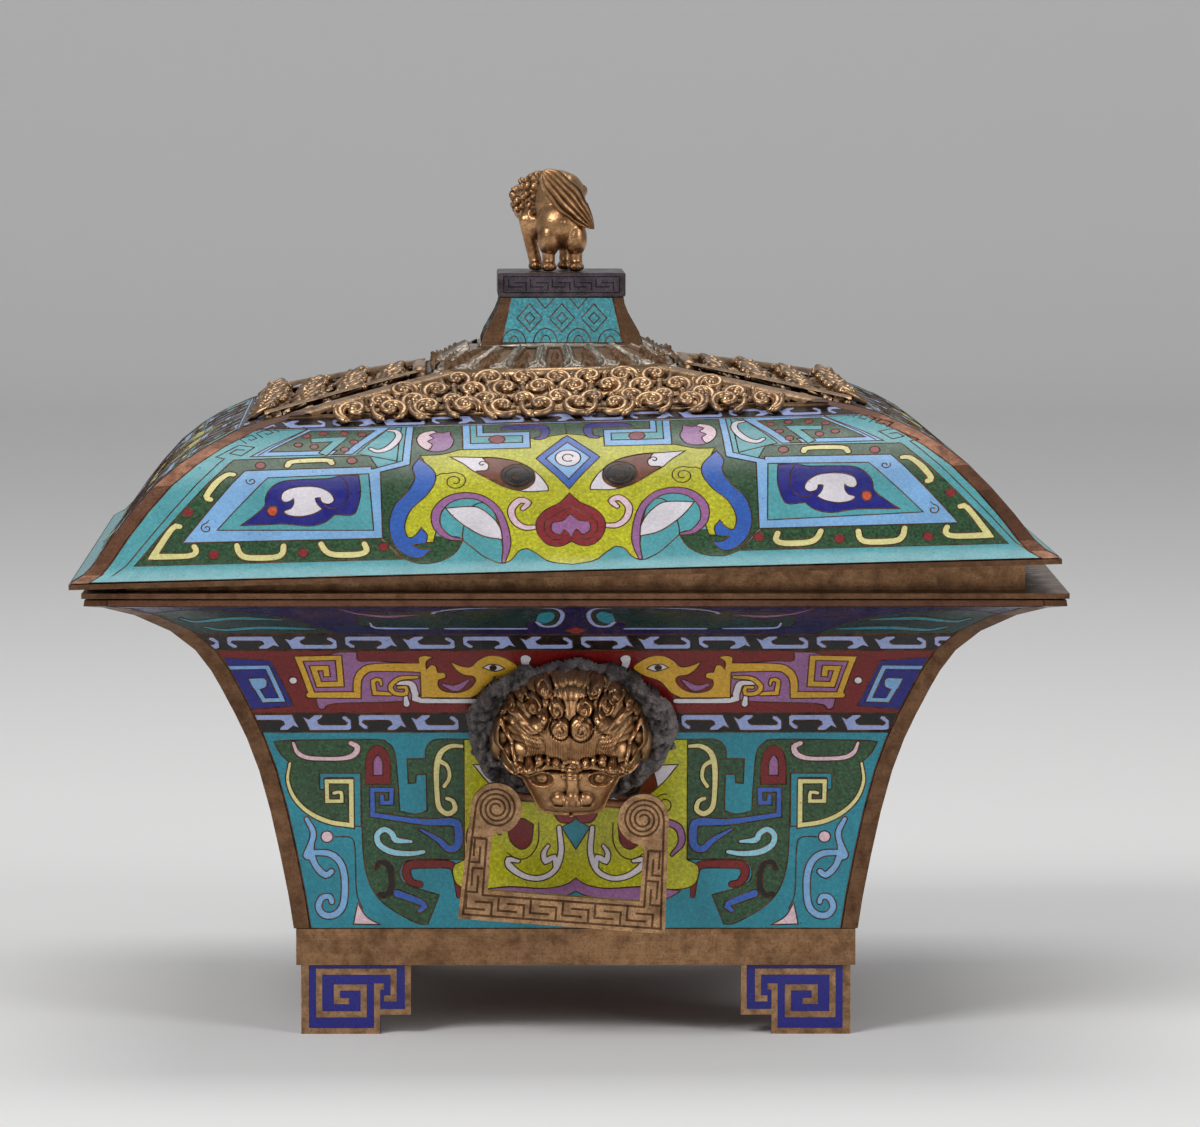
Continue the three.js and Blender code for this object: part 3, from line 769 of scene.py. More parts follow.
DARK_BRONZE = metal("dark_bronze", (108, 98, 102), (56, 49, 54), (18, 18, 56), Wear=0.8, Roughness=0.34)
LEAD = metal("lead_solder", (124, 116, 114), (42, 39, 40), (18, 16, 17), (0.8, 0.0006), 0.35,
             Wear=1.0, Roughness=0.6)
FINISHES = (
    (COPPER, ("lid_hip", "handle_pin", "mask_rivet", "mask_washer", "ash_liner", "vessel_floor",
              "vessel_wall", "lid_panel", "finial_tie")),
    (BRONZE, ("base_band", "mouth_collar", "foot")),
    (BROWN_BRONZE, ("corner_post", "lip_frame", "lid_rim", "finial_pedestal")),
    (DARK_BRONZE, ("finial_cap",)), (GREY_GILT, ("lappet_plate",)),
    (PALE_GILT, ("openwork",)), (LEAD, ("mask_plate",)),
)
for name, thing in nodes.items():
    finish = next((made for made, starts in FINISHES if name.startswith(starts)), GILT)
    thing.data.materials.clear()
    thing.data.materials.append(finish)
print("materials:", len(bpy.data.materials))


def laid_on(name, body, carrier, outline, design, parts, side):
    """Lays one design on one side: the enamel skin and its wires, as two pieces."""
    flat, faces, top, meets = parts
    points, normals = on_sheet(outline, flat, SKIN)
    leans = placed(normals, carrier, side) / MM - placed(normals * 0, carrier, side) / MM
    skin = as_piece(f"{name}_enamel_{side}", placed(points, carrier, side), faces, ENAMEL, leans)
    glazed(skin.data, design, top)
    line_points, line_edges = drawn_lines(design.wires)
    all_points = np.concatenate([flat, line_points])
    all_edges = np.concatenate([meets, line_edges + len(flat)])
    spots, quads = bars(all_points, all_edges, WIRE_WIDTH, WIRE_FOOT, WIRE_TOP)
    raised, _ = on_sheet(outline, spots[:, :2], spots[:, 2])
    wires = as_piece(f"{name}_wires_{side}", placed(raised, carrier, side), quads, WIRE_PAINTED_REFLECTION)
    finished(skin, body)
    finished(wires, body)

# %% [markdown]
# The lid's front carries a taotie, the mask of old bronzes: two eyes, a lozenge on the brow, a
# heart-shaped nose and curling fangs, on yellow-green. Blue flames and green fields stand beside
# it, and each end of the panel holds a slanting frame with a lapis bud and a white cloud. Only the
# left half is drawn: the design mirrors itself. A frieze of C-scrolls on black closes the top.

# %% The lid's design
C_SCROLL = [
    (-0.49, 0.39), (-0.43, 0.49), (0.38, 0.5, 1), (0.44, 0.08), (0.52, -0.36, 1), (0.4, -0.22),
    (0.28, -0.48), (0.12, -0.5, 1), (0.1, -0.36), (0.16, -0.21), (0.21, -0.12), (0.19, 0.06),
    (0.13, 0.14), (-0.37, 0.14), (-0.4, 0.02), (-0.34, -0.12), (-0.28, -0.24), (-0.3, -0.43),
    (-0.38, -0.4), (-0.48, -0.14),
]


def frieze(design, low, high, first, pitch, count):
    """A black band of scrolls: a bar that curls in at one end and forks at the other. Every
    second one is the first turned by half a turn, so curl faces curl and fork faces fork."""
    one = path(C_SCROLL, closed=True)
    design.cell("black", full_width(low, high), both=False)
    for i in range(count):
        size = np.array([pitch * 0.9, (high - low) * 0.84]) * (-1 if i % 2 else 1)
        design.cell("frost", one * size + [first + pitch * i, (low + high) / 2], both=False)


def key_fret(start, end, units, height):
    """A running fret as one wire: in each unit the line goes out, turns in and comes back."""
    unit = np.array([[0, 0], [0, 1], [0.72, 1], [0.72, 0.32], [0.36, 0.32], [0.36, 0.66]])
    start, end = np.array(start, float), np.array(end, float)
    along = (end - start) / units
    out = np.array([-along[1], along[0]]) / np.hypot(*along) * height
    return [start + (unit[:, :1] + i) * along + unit[:, 1:] * out for i in range(units)]


LID_MIDDLE = 2.0
# The lid's ground is paler than the walls' turquoise: partly its own tone, partly painted light, as if lit
# from above.
lid = Design("turquoise_pale_painted_light", LID_MIDDLE)
lid.cell("green", sharp((-131, 7.6), (-100.7, 48.8), (-59.2, 49.4), (-56, 42), (-56, 15),
    (-49.5, 7.6)))
lid.cell("light_blue", sharp((-116.3, 15.6), (-97.3, 43.4), (-58.4, 43.8), (-58.4, 42.6),
    (-48.9, 46.1), (-47.4, 66.8), (-45, 66.8), (-46.4, 44.4), (-55.7, 41.2), (-55.4, 15.4)))
lid.cell("turquoise_pale_painted_light", sharp((-105.8, 19.9), (-90.2, 39.9), (-59.3, 40.6), (-58.1, 18.4)))
lid.cell("lapis", [(-98.8, 21.3, 1), (-94.4, 25), (-91.2, 28.6), (-91, 31.6), (-89.4, 35.4),
    (-85.4, 38.2), (-79, 38.8), (-72, 38.9), (-67.6, 40.1), (-62.4, 40, 1), (-61.9, 33),
    (-62.9, 27), (-64.6, 24.3), (-69.9, 24.6, 1), (-73, 21.8), (-78, 20.6), (-86, 21.6)])
lid.cell("white", [(-86.2, 31), (-85.6, 33.8), (-82.6, 35.4), (-78.4, 35.8), (-74.3, 35.2),
    (-71, 32.8), (-70, 30), (-71.6, 28.6), (-73.8, 29.4), (-74.3, 31.2, 1), (-75.7, 31),
    (-75, 28.6), (-73.6, 26.8, 1), (-76, 25.2), (-80, 24.2), (-84, 24.8), (-85.4, 26.4),
    (-83.4, 27.2), (-82.4, 29), (-82.4, 31.2, 1), (-83.4, 30.2), (-85, 29.8)])
lid.wire([(-73.3, 28.6), (-71, 26.8), (-68, 27.4), (-66, 30.4), (-66, 36), (-67.6, 39.8)])
lid.cell("orange", [(-90.6, 26.4), (-89.6, 28.2), (-87.6, 28), (-87.4, 26), (-88.4, 24.6), (-89.8, 25)])
lid.wire(np.concatenate([spiral(-109, 20.7, 1.9, 1.2, 1.6)[::-1], spiral(-95.3, 38.6, 1.7, 1.2, 2.6)]))
BRACKETS = [
    [(-99.8, 14.2), (-99, 11.4), (-96.4, 9.7), (-88.4, 9.6), (-86, 11), (-85.6, 13.6)],
    [(-74.2, 14), (-72.8, 11.4), (-70, 10), (-62.8, 9.9), (-60.4, 11.2), (-61, 13.6)],
    [(-117.2, 21.6), (-119.4, 21), (-125.4, 10.9, 1), (-114.6, 10.9), (-112.2, 12.4), (-112.8, 14.2)],
    [(-107.8, 31.6), (-109, 33), (-105.8, 38.6), (-102.8, 41.8), (-100.8, 41.8)],
    [(-84.2, 45.2), (-82.4, 47.2), (-72.2, 47.4), (-70.6, 45.8)],
]
for bracket in BRACKETS:
    lid.cell("cream", stroke(bracket, [2.1, 2.3, 2.5, 2.3, 2.1]))
for x, y in ((-106.8, 11), (-79.7, 11), (-55.2, 12.4), (-114.6, 26.8), (-92.5, 45.7), (-64.4, 46.9)):
    lid.cell("dark_red", disc(x, y, 1.6))
lid.wire(sharp((-138, 3.4), (-133.6, 7.6), (-103.6, 49.6), (-106.2, 50.6), (-99, 57), (-94.4, 55.4),
    (-98.4, 51), (-102, 52.4), (-100, 54.4), (-97, 54)))
for fret in key_fret((-96.6, 57.6), (-81.6, 68.2), 3, 4.2):
    lid.wire(sharp(*fret.tolist()))
lid.wire(sharp((-93.5, 50.6), (-78, 66.2), (-79.6, 69)))
lid.cell("light_blue", sharp((-95.6, 50.3), (-77.4, 67), (-52.2, 66.6), (-64.2, 50.3)))
lid.cell("green", sharp((-90, 52.6), (-77, 65.3), (-57.2, 64.4), (-67.2, 50.4), (-70.4, 50.4),
    (-68.8, 52.6)))
lid.cell("turquoise_pale_painted_light", stroke(sharp((-77, 58.8), (-67.6, 59.4), (-73.4, 50.6)), 2.9, square=True))
lid.cell("turquoise_pale_painted_light", sharp((-53.4, 64.6), (-62.8, 50.4), (-59.8, 49.4), (-50.6, 46), (-49, 66.4)))
RED_DOTS = [
    (-80.9, 56.3), (-76, 54.9), (-66.6, 53), (-63.7, 57.2), (-61.2, 62), (-66.8, 63), (-73.2, 63.2),
    (-78.4, 61.8),
]
for x, y in RED_DOTS:
    lid.cell("dark_red", disc(x, y, 1.35))
lid.cell("white", stroke([(-53, 64.2), (-50.6, 63.4), (-49.9, 60), (-51.4, 55.6), (-53.8, 52.6),
    (-56.6, 51.6), (-58.6, 53)], [1.2, 2, 2.2, 2.4, 2.4, 2, 1.4]))
lid.cell("green", [(-45.2, 66.8, 1), (-30.2, 66.8, 1), (-30.2, 49, 1), (-38, 44, 1), (-42, 30, 1),
    (-44, 16, 1), (-36, 15.2), (-32.6, 15.2), (-30.9, 14, 1), (-33.4, 9.6), (-38, 6.4), (-44, 5.6),
    (-49, 7.6, 1), (-55.4, 15.4, 1), (-55.7, 41.2, 1), (-46.6, 44.3, 1)])
lid.cell("turquoise_pale_painted_light", [(-31, 14), (-28, 26), (-22, 26), (-19, 12), (-19, 5), (-25, 8)])
lid.joined("chartreuse", [(2, 59, 1), (-3.4, 57.6), (-5.8, 55.8), (-9.4, 56.9, 1), (-9.6, 51.2, 1),
    (-31, 51.2, 1), (-37, 48.9), (-43.4, 48.6, 1), (-42, 44), (-43, 36), (-47, 30), (-50, 24),
    (-50, 18), (-46, 13.8), (-40, 13.5, 1), (-38.8, 19), (-38.4, 25), (-34.8, 29.4), (-30, 30.6),
    (-24.6, 29.2), (-20.2, 24.6), (-18, 18.6), (-17.6, 12), (-18.8, 4.8, 1), (-16.4, 6.2),
    (-14, 9.6), (-11.4, 10.4, 1), (-8.6, 8.4), (-5, 5.2), (2, 3.4, 1)])
lid.cell("white", [(-36, 25.9, 1), (-30, 26.3), (-25.8, 25.7), (-21.4, 21.6), (-19.2, 17),
    (-18.9, 13.8, 1), (-25, 15.4), (-30.6, 19.4), (-34, 23)])
lid.cell("lilac", stroke([(-31.4, 14.2), (-35.4, 15.2), (-38.7, 19), (-38.8, 24.4), (-35.4, 28.9),
    (-30.4, 30.6), (-25, 29.4), (-20.6, 25), (-18.4, 19), (-17.7, 12), (-18.8, 5.6)],
    [0.8, 2.2, 2.9, 2.6, 2.2, 2.2, 2.3, 2.6, 1.2]))
lid.cell("mid_blue", [(-43.8, 47.2, 1), (-45.8, 43), (-45.2, 38), (-47.6, 32.6), (-51.6, 27.4),
    (-53.3, 21), (-52.6, 14.6), (-49.4, 9.8), (-44.4, 7.8), (-40.4, 11.4, 1), (-43.6, 11.1),
    (-46.4, 12.8, 1), (-42.2, 13.3, 1), (-41.8, 16.2), (-43.6, 18.9, 1), (-45.2, 16.4),
    (-47.6, 15.4), (-48.6, 19.8), (-46.6, 25.6), (-41.8, 31), (-39, 36.4), (-39.4, 41.4)])
lid.cell("white", [(-34.4, 47.5, 1), (-27, 46.9), (-20, 46.4), (-13, 44), (-8, 39.2), (-4.8, 34),
    (-4.4, 31.7, 1), (-11, 31.5), (-17, 33.2), (-21.8, 36.3), (-26.8, 40.2), (-30.2, 44)])
lid.cell("brown", [(-24.2, 46.5), (-20, 46.3), (-13.4, 44.2), (-9, 40.2), (-8.8, 35), (-13, 32.2),
    (-18.4, 34.2), (-23.6, 38), (-26.4, 40.4), (-23.2, 40.8), (-22.4, 43), (-23.2, 44.8)])
lid.cell("black", disc(-13.7, 38.1, 5.2))
lid.wire(disc(-13.7, 38.1, 3.8)[:-1])
lid.wire(disc(-13.7, 38.1, 1.6))
lid.wire(spiral(-24.4, 43.8, 1.4, 1.0))
lid.wire(np.concatenate([path([(-39.2, 38.4), (-37, 39.8)]), spiral(-33, 36.4, 3.9, 1.7, 2.1, -1)]))
lid.cell("blush", stroke([(-12.4, 25), (-10.8, 27), (-13.2, 28.2), (-15.9, 24.8), (-15.1, 20.6),
    (-12, 18), (-7, 18.2)], [1.6, 2.2, 2.4, 2.2, 2.2, 1.9, 1.4]))
lid.cell("dark_red", [(2, 30.6, 1), (-1, 27), (-5.6, 24.2), (-8.3, 20.4), (-8.2, 15.8),
    (-5.4, 11.8), (-1.4, 10.9), (2, 12.6, 1), (5.4, 10.9), (9.4, 11.8), (12.2, 15.8), (12.3, 20.4),
    (9.6, 24.2), (5, 27)], both=False)
lid.cell("lilac", [(2, 22.6, 1), (-0.4, 20.2), (-3.6, 19.4), (-3.8, 16.4), (-1.4, 15), (0.2, 16.8),
    (2, 13.8, 1), (3.8, 16.8), (5.4, 15), (7.8, 16.4), (7.6, 19.4), (4.4, 20.2)], both=False)
lid.wire([(2, 25.6, 1), (-2, 22.8), (-5.6, 20), (-5.9, 16), (-3.2, 13.4), (-0.4, 13.8)])
lid.cell("mid_blue", sharp((-7.8, 45.6), (2, 57.8), (11.8, 45.6), (2, 32.2)), both=False)
lid.cell("light_blue", sharp((-4.8, 45.5), (2, 53.9), (8.8, 45.5), (2, 36)), both=False)
lid.cell("white", disc(2, 45.6, 3.9), both=False)
lid.wire(disc(2, 45.6, 1.7), both=False)
lid.cell("green", [(-24, 66.8, 1), (-23.6, 60, 1), (-9.2, 56.6, 1), (-5.8, 55.8), (-3.4, 57.6),
    (2, 59, 1), (2.4, 66.8, 1)])
lid.cell("lapis", stroke([(-17.4, 63.4), (-14, 64.2), (-6.4, 64), (-4.6, 61.6), (-5.4, 57.2),
    (-7.4, 56.4)], [2, 3, 3.2, 3, 2.6, 1.6]))
lid.cell("light_blue", sharp((-30.2, 66.8), (-30.2, 51.2), (-9.4, 51.2), (-9.4, 61), (-23.8, 61),
    (-23.8, 66.8)))
lid.cell("turquoise_pale_painted_light", sharp((-27.8, 66.8), (-27.8, 54.4), (-11.7, 54.4), (-11.7, 58.7),
    (-25.8, 58.7), (-25.8, 66.8)))
lid.cell("dark_red", disc(-19.6, 56.6, 2.5))
lid.cell("lilac", [(-39.2, 63.4, 1), (-42.6, 62), (-44.3, 58.6), (-43.7, 54.4), (-41, 51.2),
    (-37.4, 50.5), (-34.4, 52), (-32.9, 56), (-33.8, 60), (-33.9, 62.8, 1), (-37, 61.6)])
lid.cell("blush", [(-39.2, 63.4, 1), (-42.6, 62), (-44.3, 58.6), (-43.7, 54.4), (-41, 51.4),
    (-39.6, 54.4), (-41, 56.4), (-39.1, 58.4), (-40.4, 60.4), (-38, 62, 1)])
lid.cell("light_blue", full_width(66.3, 67.3), both=False)
frieze(lid, 67.3, 75.6, -94.6, 15.4, 13)

SLACK = 0.15  # the enamel stops this far short of the strips at its sides
lid_parts = laid_out(lid, sheet_border(ROOF, HIP + SLACK), unrolled(ROOF)[1:-1])
print("lid design:", len(lid.cells), "cells and", len(lid_parts[1]), "triangles")

# %% Enamel on the lid's four sides
for side in SIDES:
    laid_on("lid", "lid", LID, ROOF, lid, lid_parts, side)

# %% [markdown]
# The body's four walls carry one tall design in bands. From the top: lapis with green scrollwork
# in the shade of the flare, whose navy ground and deep green are darkened as painted shade, a black
# frieze, a red band where a yellow phoenix looks at a lapis lozenge, a second frieze, and a
# turquoise field. There a larger taotie fills the middle, behind the lion mask and the handle on the
# front and the back, and green branches with cream, blue, red and black scrolls fill each side.

# %% The wall's design
# The walls' ground is deeper than the lid's: partly its own tone, partly painted shade under the lid.
wall = Design("turquoise")
# The flare under the lip: its navy ground and deep green fields are darkened, as painted shade under the
# lip's overhang.
wall.cell("navy_painted_shade", full_width(103.5, 140), both=False)
wall.cell("deep_green_painted_shade", [(-74, 104, 1), (-116, 104, 1), (-132, 118, 1), (-118, 124), (-98, 120),
    (-84, 112)])
wall.cell("turquoise", stroke([(-80, 107), (-96, 108), (-108, 106.4), (-114, 108.6)],
    [1, 2.4, 2.4, 1.2]))
wall.cell("turquoise", stroke([(-90, 114), (-104, 115), (-116, 112.6), (-121, 115)],
    [1, 2.4, 2.4, 1.2]))
wall.cell("deep_green_painted_shade", [(-64, 108.6), (-44, 107.2), (-15.6, 107.3, 1), (-14.8, 112),
    (-11.6, 112.4), (-9.4, 108.8), (-5.4, 111), (-3.8, 118), (-5.6, 126.2), (-20, 128), (-38, 126),
    (-45, 122), (-63, 121), (-67, 114)])
wall.cell("turquoise", [(-12.4, 113), (-9.8, 111.2), (-7, 113.4), (-6.2, 118), (-8, 122), (-11.4, 119)])
wall.cell("frost", stroke([(-11.8, 112.2), (-10, 109.2), (-6.6, 109.4), (-4.6, 113), (-4, 119),
    (-5.6, 125), (-9.4, 126.9), (-20, 127.4), (-36, 125.2), (-42.6, 121.6), (-43.6, 119.4)], 1.7))
wall.cell("frost", stroke([(-63, 111.6), (-62, 108.4), (-58, 107.6), (-45.4, 107.4)],
    [1, 1.8, 1.6, 1.2]))
wall.cell("frost", stroke([(-40, 107.3), (-15.2, 107.3)], 1.4))
wall.cell("lilac", stroke([(-48, 118), (-58, 116.4), (-66, 119), (-72, 125)], [1.2, 2, 2, 1]))
wall.cell("dark_red", sharp((0, 108.8), (3.6, 105.9), (0, 103.8), (-3.6, 105.9)), both=False)
wall.cell("red", full_width(72, 95.5), both=False)
frieze(wall, 95.6, 103.5, -135.8, 18.15, 16)
frieze(wall, 65.2, 72, -127, 16.7, 16)
wall.cell("lapis", sharp((-108.8, 92.8), (-94.2, 91.5), (-87.4, 74.7), (-101, 73.2)))
wall.cell("light_blue",
    stroke(sharp((-108, 88.6), (-95.3, 88.8), (-90.9, 76.8), (-96.6, 76.6), (-99.4, 82.2)), 1.7,
        square=True),
    path([(-101.4, 84.6, 1), (-96.1, 84.6), (-95.7, 81.6), (-97.9, 80.4, 1), (-99.9, 80.8, 1)],
        closed=True))
wall.cell("white", disc(-87.4, 83.8, 1.35))
wall.cell("lilac", [(-85, 91, 1), (-73, 94.9, 1), (-67.4, 94.9, 1), (-67, 91.4), (-61, 91.3),
    (-48, 90, 1), (-47.6, 79, 1), (-53, 76.3), (-74.6, 75.4), (-78, 73.4), (-79.8, 74),
    (-80.6, 78, 1)])
wall.cell("white",
    stroke([(-55.4, 82.8), (-51, 82.6), (-49.7, 79), (-48, 76.6), (-31, 76.3)],
        [1.4, 2.4, 2.2, 1.9, 1.9, 1.9]),
    stroke([(-52.8, 79), (-52.4, 75.2)], [1.2, 2.2]))
PHOENIX_TAIL = sharp((-76.9, 85.2), (-77.2, 88.5), (-81, 88.4), (-79.4, 82.3), (-72.7, 82.5),
    (-73.2, 92.6), (-85.6, 92.2), (-81.6, 78.4))
PHOENIX_HEAD = [
    (-50, 90.4, 1), (-48.4, 90.6), (-48.6, 92.6), (-46.4, 93.5), (-44.1, 92.8, 1), (-46.1, 91),
    (-46.1, 88, 1), (-44.8, 89.7), (-43.3, 89.3), (-42.6, 86.8, 1), (-40.5, 86.6), (-40.2, 84.8),
    (-42.3, 84), (-42.4, 81.6), (-40.6, 79.9), (-36.6, 79.4), (-33, 80.8), (-31, 83.6),
    (-31.8, 85.3), (-34.6, 85.8), (-37, 87.8), (-38.9, 91.2, 1), (-35.6, 89.4), (-32.4, 89),
    (-30.4, 91.4), (-27, 93.4), (-23, 93.1), (-19.4, 90.8), (-17.8, 88.4), (-21, 85.6), (-26, 83.4),
    (-29.4, 79.4), (-32.6, 77.4, 1), (-47.9, 77.5, 1), (-48.1, 86.8, 1), (-50, 86.8, 1),
]
wall.cell("yellow",
    stroke(PHOENIX_TAIL, 2.1, square=True),
    stroke([(-82.5, 78.5, 1), (-67.7, 78.5, 1), (-67.4, 84), (-65.6, 87.2), (-62, 88.7),
        (-48, 88.7)], [2.2, 2.4, 2.6, 3.4, 3.6]),
    path(PHOENIX_HEAD, closed=True))
wall.cell("yellow", stroke([(-60.2, 82.2), (-60.6, 84), (-62.6, 83.6), (-62.2, 79.2, 1),
    (-57.2, 78.9)], [1, 1.6, 1.7, 1.7, 1.4]))
wall.cell("yellow", stroke([(-49, 85), (-54.4, 84.5), (-57.3, 81.6), (-56, 79.2), (-52.6, 79),
    (-52.6, 81.2), (-54.9, 81.2)], [1.2, 1.6, 1.8, 1.7, 1.5, 1.2]))
wall.cell("lilac", stroke([(-41, 82.2), (-37, 81), (-33.2, 83.8)], [1, 2.6, 1]))
wall.cell("white", [(-28.8, 88.6, 1), (-26.4, 90), (-23.4, 89.5), (-22, 88.2, 1), (-25, 87.2)])
wall.cell("black", disc(-25.5, 88.6, 1))
wall.cell("white", [(-17.2, 92.4), (-15.4, 93.8), (-13.6, 92.4), (-14.2, 90), (-11.6, 87.8, 1),
    (-15.6, 87.4)])

wall.cell("green", path([(-93.8, 61.8, 1), (-88, 62.3), (-63, 62.6), (-58.5, 61.4), (-56.3, 58),
    (-55.4, 48), (-54.9, 38.4, 1), (-50, 37.4), (-46.4, 38.6, 1), (-46.6, 50.7, 1),
    (-49.7, 50.5, 1), (-49.9, 47.8, 1), (-52.2, 47.6, 1), (-52.5, 55.9, 1), (-46.8, 56, 1),
    (-46.5, 59.6), (-43.6, 62.5), (-34.8, 62.6, 1), (-34.8, 22.5, 1), (-51, 22.4), (-54.8, 20),
    (-54.4, 15.6), (-50, 13.2), (-42.7, 10.9, 1), (-46.4, 1.4, 1), (-50, 1.8), (-58, 6.4),
    (-62.6, 11), (-65.5, 18), (-66.6, 28), (-66.9, 51, 1), (-69.2, 51, 1), (-69.2, 34, 1),
    (-77, 35), (-83.2, 37.6), (-87.8, 42.4), (-90, 48.4), (-89.4, 55, 1), (-92, 58)], closed=True))
wall.cell("turquoise", sharp((-79.8, 51), (-67, 51), (-67, 33.4), (-69.4, 33.4), (-69.4, 49.6),
    (-78.1, 49.6), (-78.1, 45.6), (-79.8, 45.6)))
wall.cell("blush", stroke([(-87.8, 61.4), (-86.6, 58.2), (-84, 56.5), (-79.6, 56), (-72.4, 56.1),
    (-68.8, 57.5), (-67.9, 60), (-69.9, 61.3)], [1.2, 1.8, 1.7, 1.6, 1.7, 2.2, 1.8]))
wall.cell("cream", stroke([(-89, 54.4), (-89.7, 48.4), (-87.5, 42.4), (-83, 37.8), (-77, 34.9),
    (-70, 33.7, 1), (-70, 48.3, 1), (-77.6, 48.3, 1), (-77.5, 41.7, 1), (-73, 41.7, 1),
    (-73.2, 44.6), (-75.4, 44.4)], [1.1, 1.5, 1.8, 1.8, 1.8, 1.6, 1.4]))
wall.cell("light_blue",
    stroke([(-84, 35.8), (-82, 31.4), (-82.8, 27.2), (-83.6, 24)], [1.6, 2, 2, 3.4]),
    stroke([(-83, 24.6), (-81, 20), (-78.2, 17.4), (-76.4, 18.6)], [2.6, 2.1, 2.3, 2]),
    stroke([(-82.6, 24.8), (-77, 24.4), (-73.6, 21.4), (-72.3, 16), (-72.8, 8), (-75.4, 4.6),
        (-78.8, 4.4), (-80.6, 7), (-79.4, 10), (-77, 10.3), (-76.4, 8.6)],
        [2, 2.3, 2.3, 2.3, 2.3, 2.2, 1.8]))
wall.cell("blush", disc(-77.7, 30, 1.9))
wall.wire([(-75.8, 29.9), (-70.4, 29.7), (-69, 26), (-68.6, 12), (-66.6, 6)])
wall.cell("blush", [(-68.3, 8.4, 1), (-69.7, 1.4, 1), (-61.2, 1.2, 1), (-65.6, 3.9)])
wall.cell("red", [(-65.6, 47.3, 1), (-65.4, 55), (-64.2, 59), (-61.6, 60.6), (-59, 59), (-57.8, 55),
    (-57.6, 47.3, 1)])
wall.cell("lilac", [(-63.1, 50.3, 1), (-63, 55), (-61.6, 57.2), (-60.2, 55), (-60.1, 50.3, 1)])
wall.cell("mid_blue", stroke([(-60.4, 43.4, 1), (-60.4, 41.2, 1), (-57.6, 41.2, 1),
    (-57.4, 45.5, 1), (-63.4, 45.5, 1), (-63.4, 37.2, 1), (-48, 34.9), (-38.6, 34.8), (-36.8, 33),
    (-36.9, 27.4), (-39.6, 25.9), (-43, 29), (-48.6, 32.4)],
    [1.6, 1.7, 1.7, 1.8, 1.9, 2.2, 2.8, 2.8, 2.2, 1]))
wall.cell("ice", stroke([(-47.6, 25), (-52, 24.4), (-57.6, 25), (-61.4, 27.4), (-62, 30.6),
    (-59.8, 32.4), (-57.4, 31), (-56.2, 28.9), (-51.4, 28.4)],
    [1.6, 2, 2.2, 2.2, 2.1, 2, 2.2, 1.2]))
wall.cell("black", stroke([(-62.6, 19.4), (-61.4, 21.5), (-58.8, 21), (-57.6, 17.6), (-57.7, 13.4),
    (-59.2, 10.9), (-61.6, 11)], [1.2, 1.7, 1.9, 1.9, 1.8, 1.6]))
wall.cell("red", stroke([(-48.8, 14.4), (-51.4, 15), (-53, 18), (-52, 20.6), (-47, 21), (-39, 20.6),
    (-37.3, 17), (-36.6, 10.6)], [2, 2.6, 2.8, 2.7, 2.6, 2.4, 2, 1.4]))
wall.cell("mid_blue", stroke([(-56, 11.4), (-47.6, 7.9), (-49, 5.8)], [2.6, 2.4, 1.6]))
wall.cell("cream",
    stroke([(-35, 60.2), (-38.8, 60.3), (-42, 58), (-43.3, 53), (-43.3, 45), (-42.6, 39.6),
        (-40, 37.5), (-37.7, 39), (-38.4, 41.8), (-40.2, 42.6)],
        [1.4, 1.9, 2.2, 2.1, 1.9, 1.9, 2, 1.9, 1.5]),
    stroke([(-42.8, 55.4), (-40, 53.4), (-39.4, 49.6), (-41, 46.6)], [2, 1.5, 1.5, 1.5]))

wall.joined("chartreuse", [(0, 62.6, 1), (-34.8, 62.6, 1), (-34.8, 22.5, 1), (-38.4, 20),
    (-37.2, 14.4), (-31, 12.6), (-21, 13.6), (-10, 13), (-3.4, 14.2), (0, 16.4, 1)])
wall.cell("lilac", [(-33, 12.2, 1), (-21, 13.5), (-10, 13), (-3.4, 14.2), (0, 16.4, 1), (3.4, 14.2),
    (10, 13), (21, 13.5), (33, 12.2, 1), (27, 9.4), (12, 9.2), (4, 10.4), (0, 12, 1), (-4, 10.4),
    (-12, 9.2), (-27, 9.4)], both=False)
wall.cell("turquoise", sharp((0, 25.8), (-4.4, 33), (0, 36), (4.4, 33)), both=False)
wall.cell("red", [(-21.4, 34, 1), (-20.4, 28.6), (-17, 25.8), (-14, 28), (-13.2, 34, 1), (-17, 36)])
wall.wire([(-11.6, 35), (-11.8, 28), (-14.4, 23.6), (-18, 22.6), (-22, 25)])
wall.cell("white",
    stroke([(-5.2, 33), (-4.6, 25), (-6.6, 19), (-11, 16.4), (-16, 17), (-20.4, 20), (-21, 22.4),
        (-18, 22)], [1.6, 1.9, 2, 1.9, 1.9, 2, 2.4, 1.4]),
    stroke([(-6.4, 19.6), (-6.8, 23.2), (-9.4, 22), (-10, 24.6), (-8.6, 27)],
        [1.4, 1.7, 2.2, 1.8, 1.2]))
wall.cell("white", [(-32, 54, 1), (-26, 53.6), (-18, 52.4), (-11, 48.6), (-7.4, 43.4, 1),
    (-14, 41.6), (-21, 43), (-27, 47.6)])
wall.cell("brown", [(-24, 52.9), (-18, 52.2), (-12, 48.6), (-10.6, 44.6), (-14, 42.2), (-20, 43.2),
    (-25.4, 46.8)])
wall.cell("black", disc(-16.6, 47, 3.9))
wall.wire(disc(-16.6, 47, 2.4))
wall.cell("mid_blue", sharp((-6.6, 52), (0, 61), (6.6, 52), (0, 43.6)), both=False)
wall.cell("light_blue", sharp((-4.2, 52), (0, 57.8), (4.2, 52), (0, 46.6)), both=False)
wall.wire(disc(0, 52.2, 1.9), both=False)
wall.cell("dark_red", [(0, 44.4, 1), (-3.4, 42), (-6.8, 38.8), (-5.2, 35), (-1.6, 34.6),
    (0, 36.6, 1), (1.6, 34.6), (5.2, 35), (6.8, 38.8), (3.4, 42)], both=False)
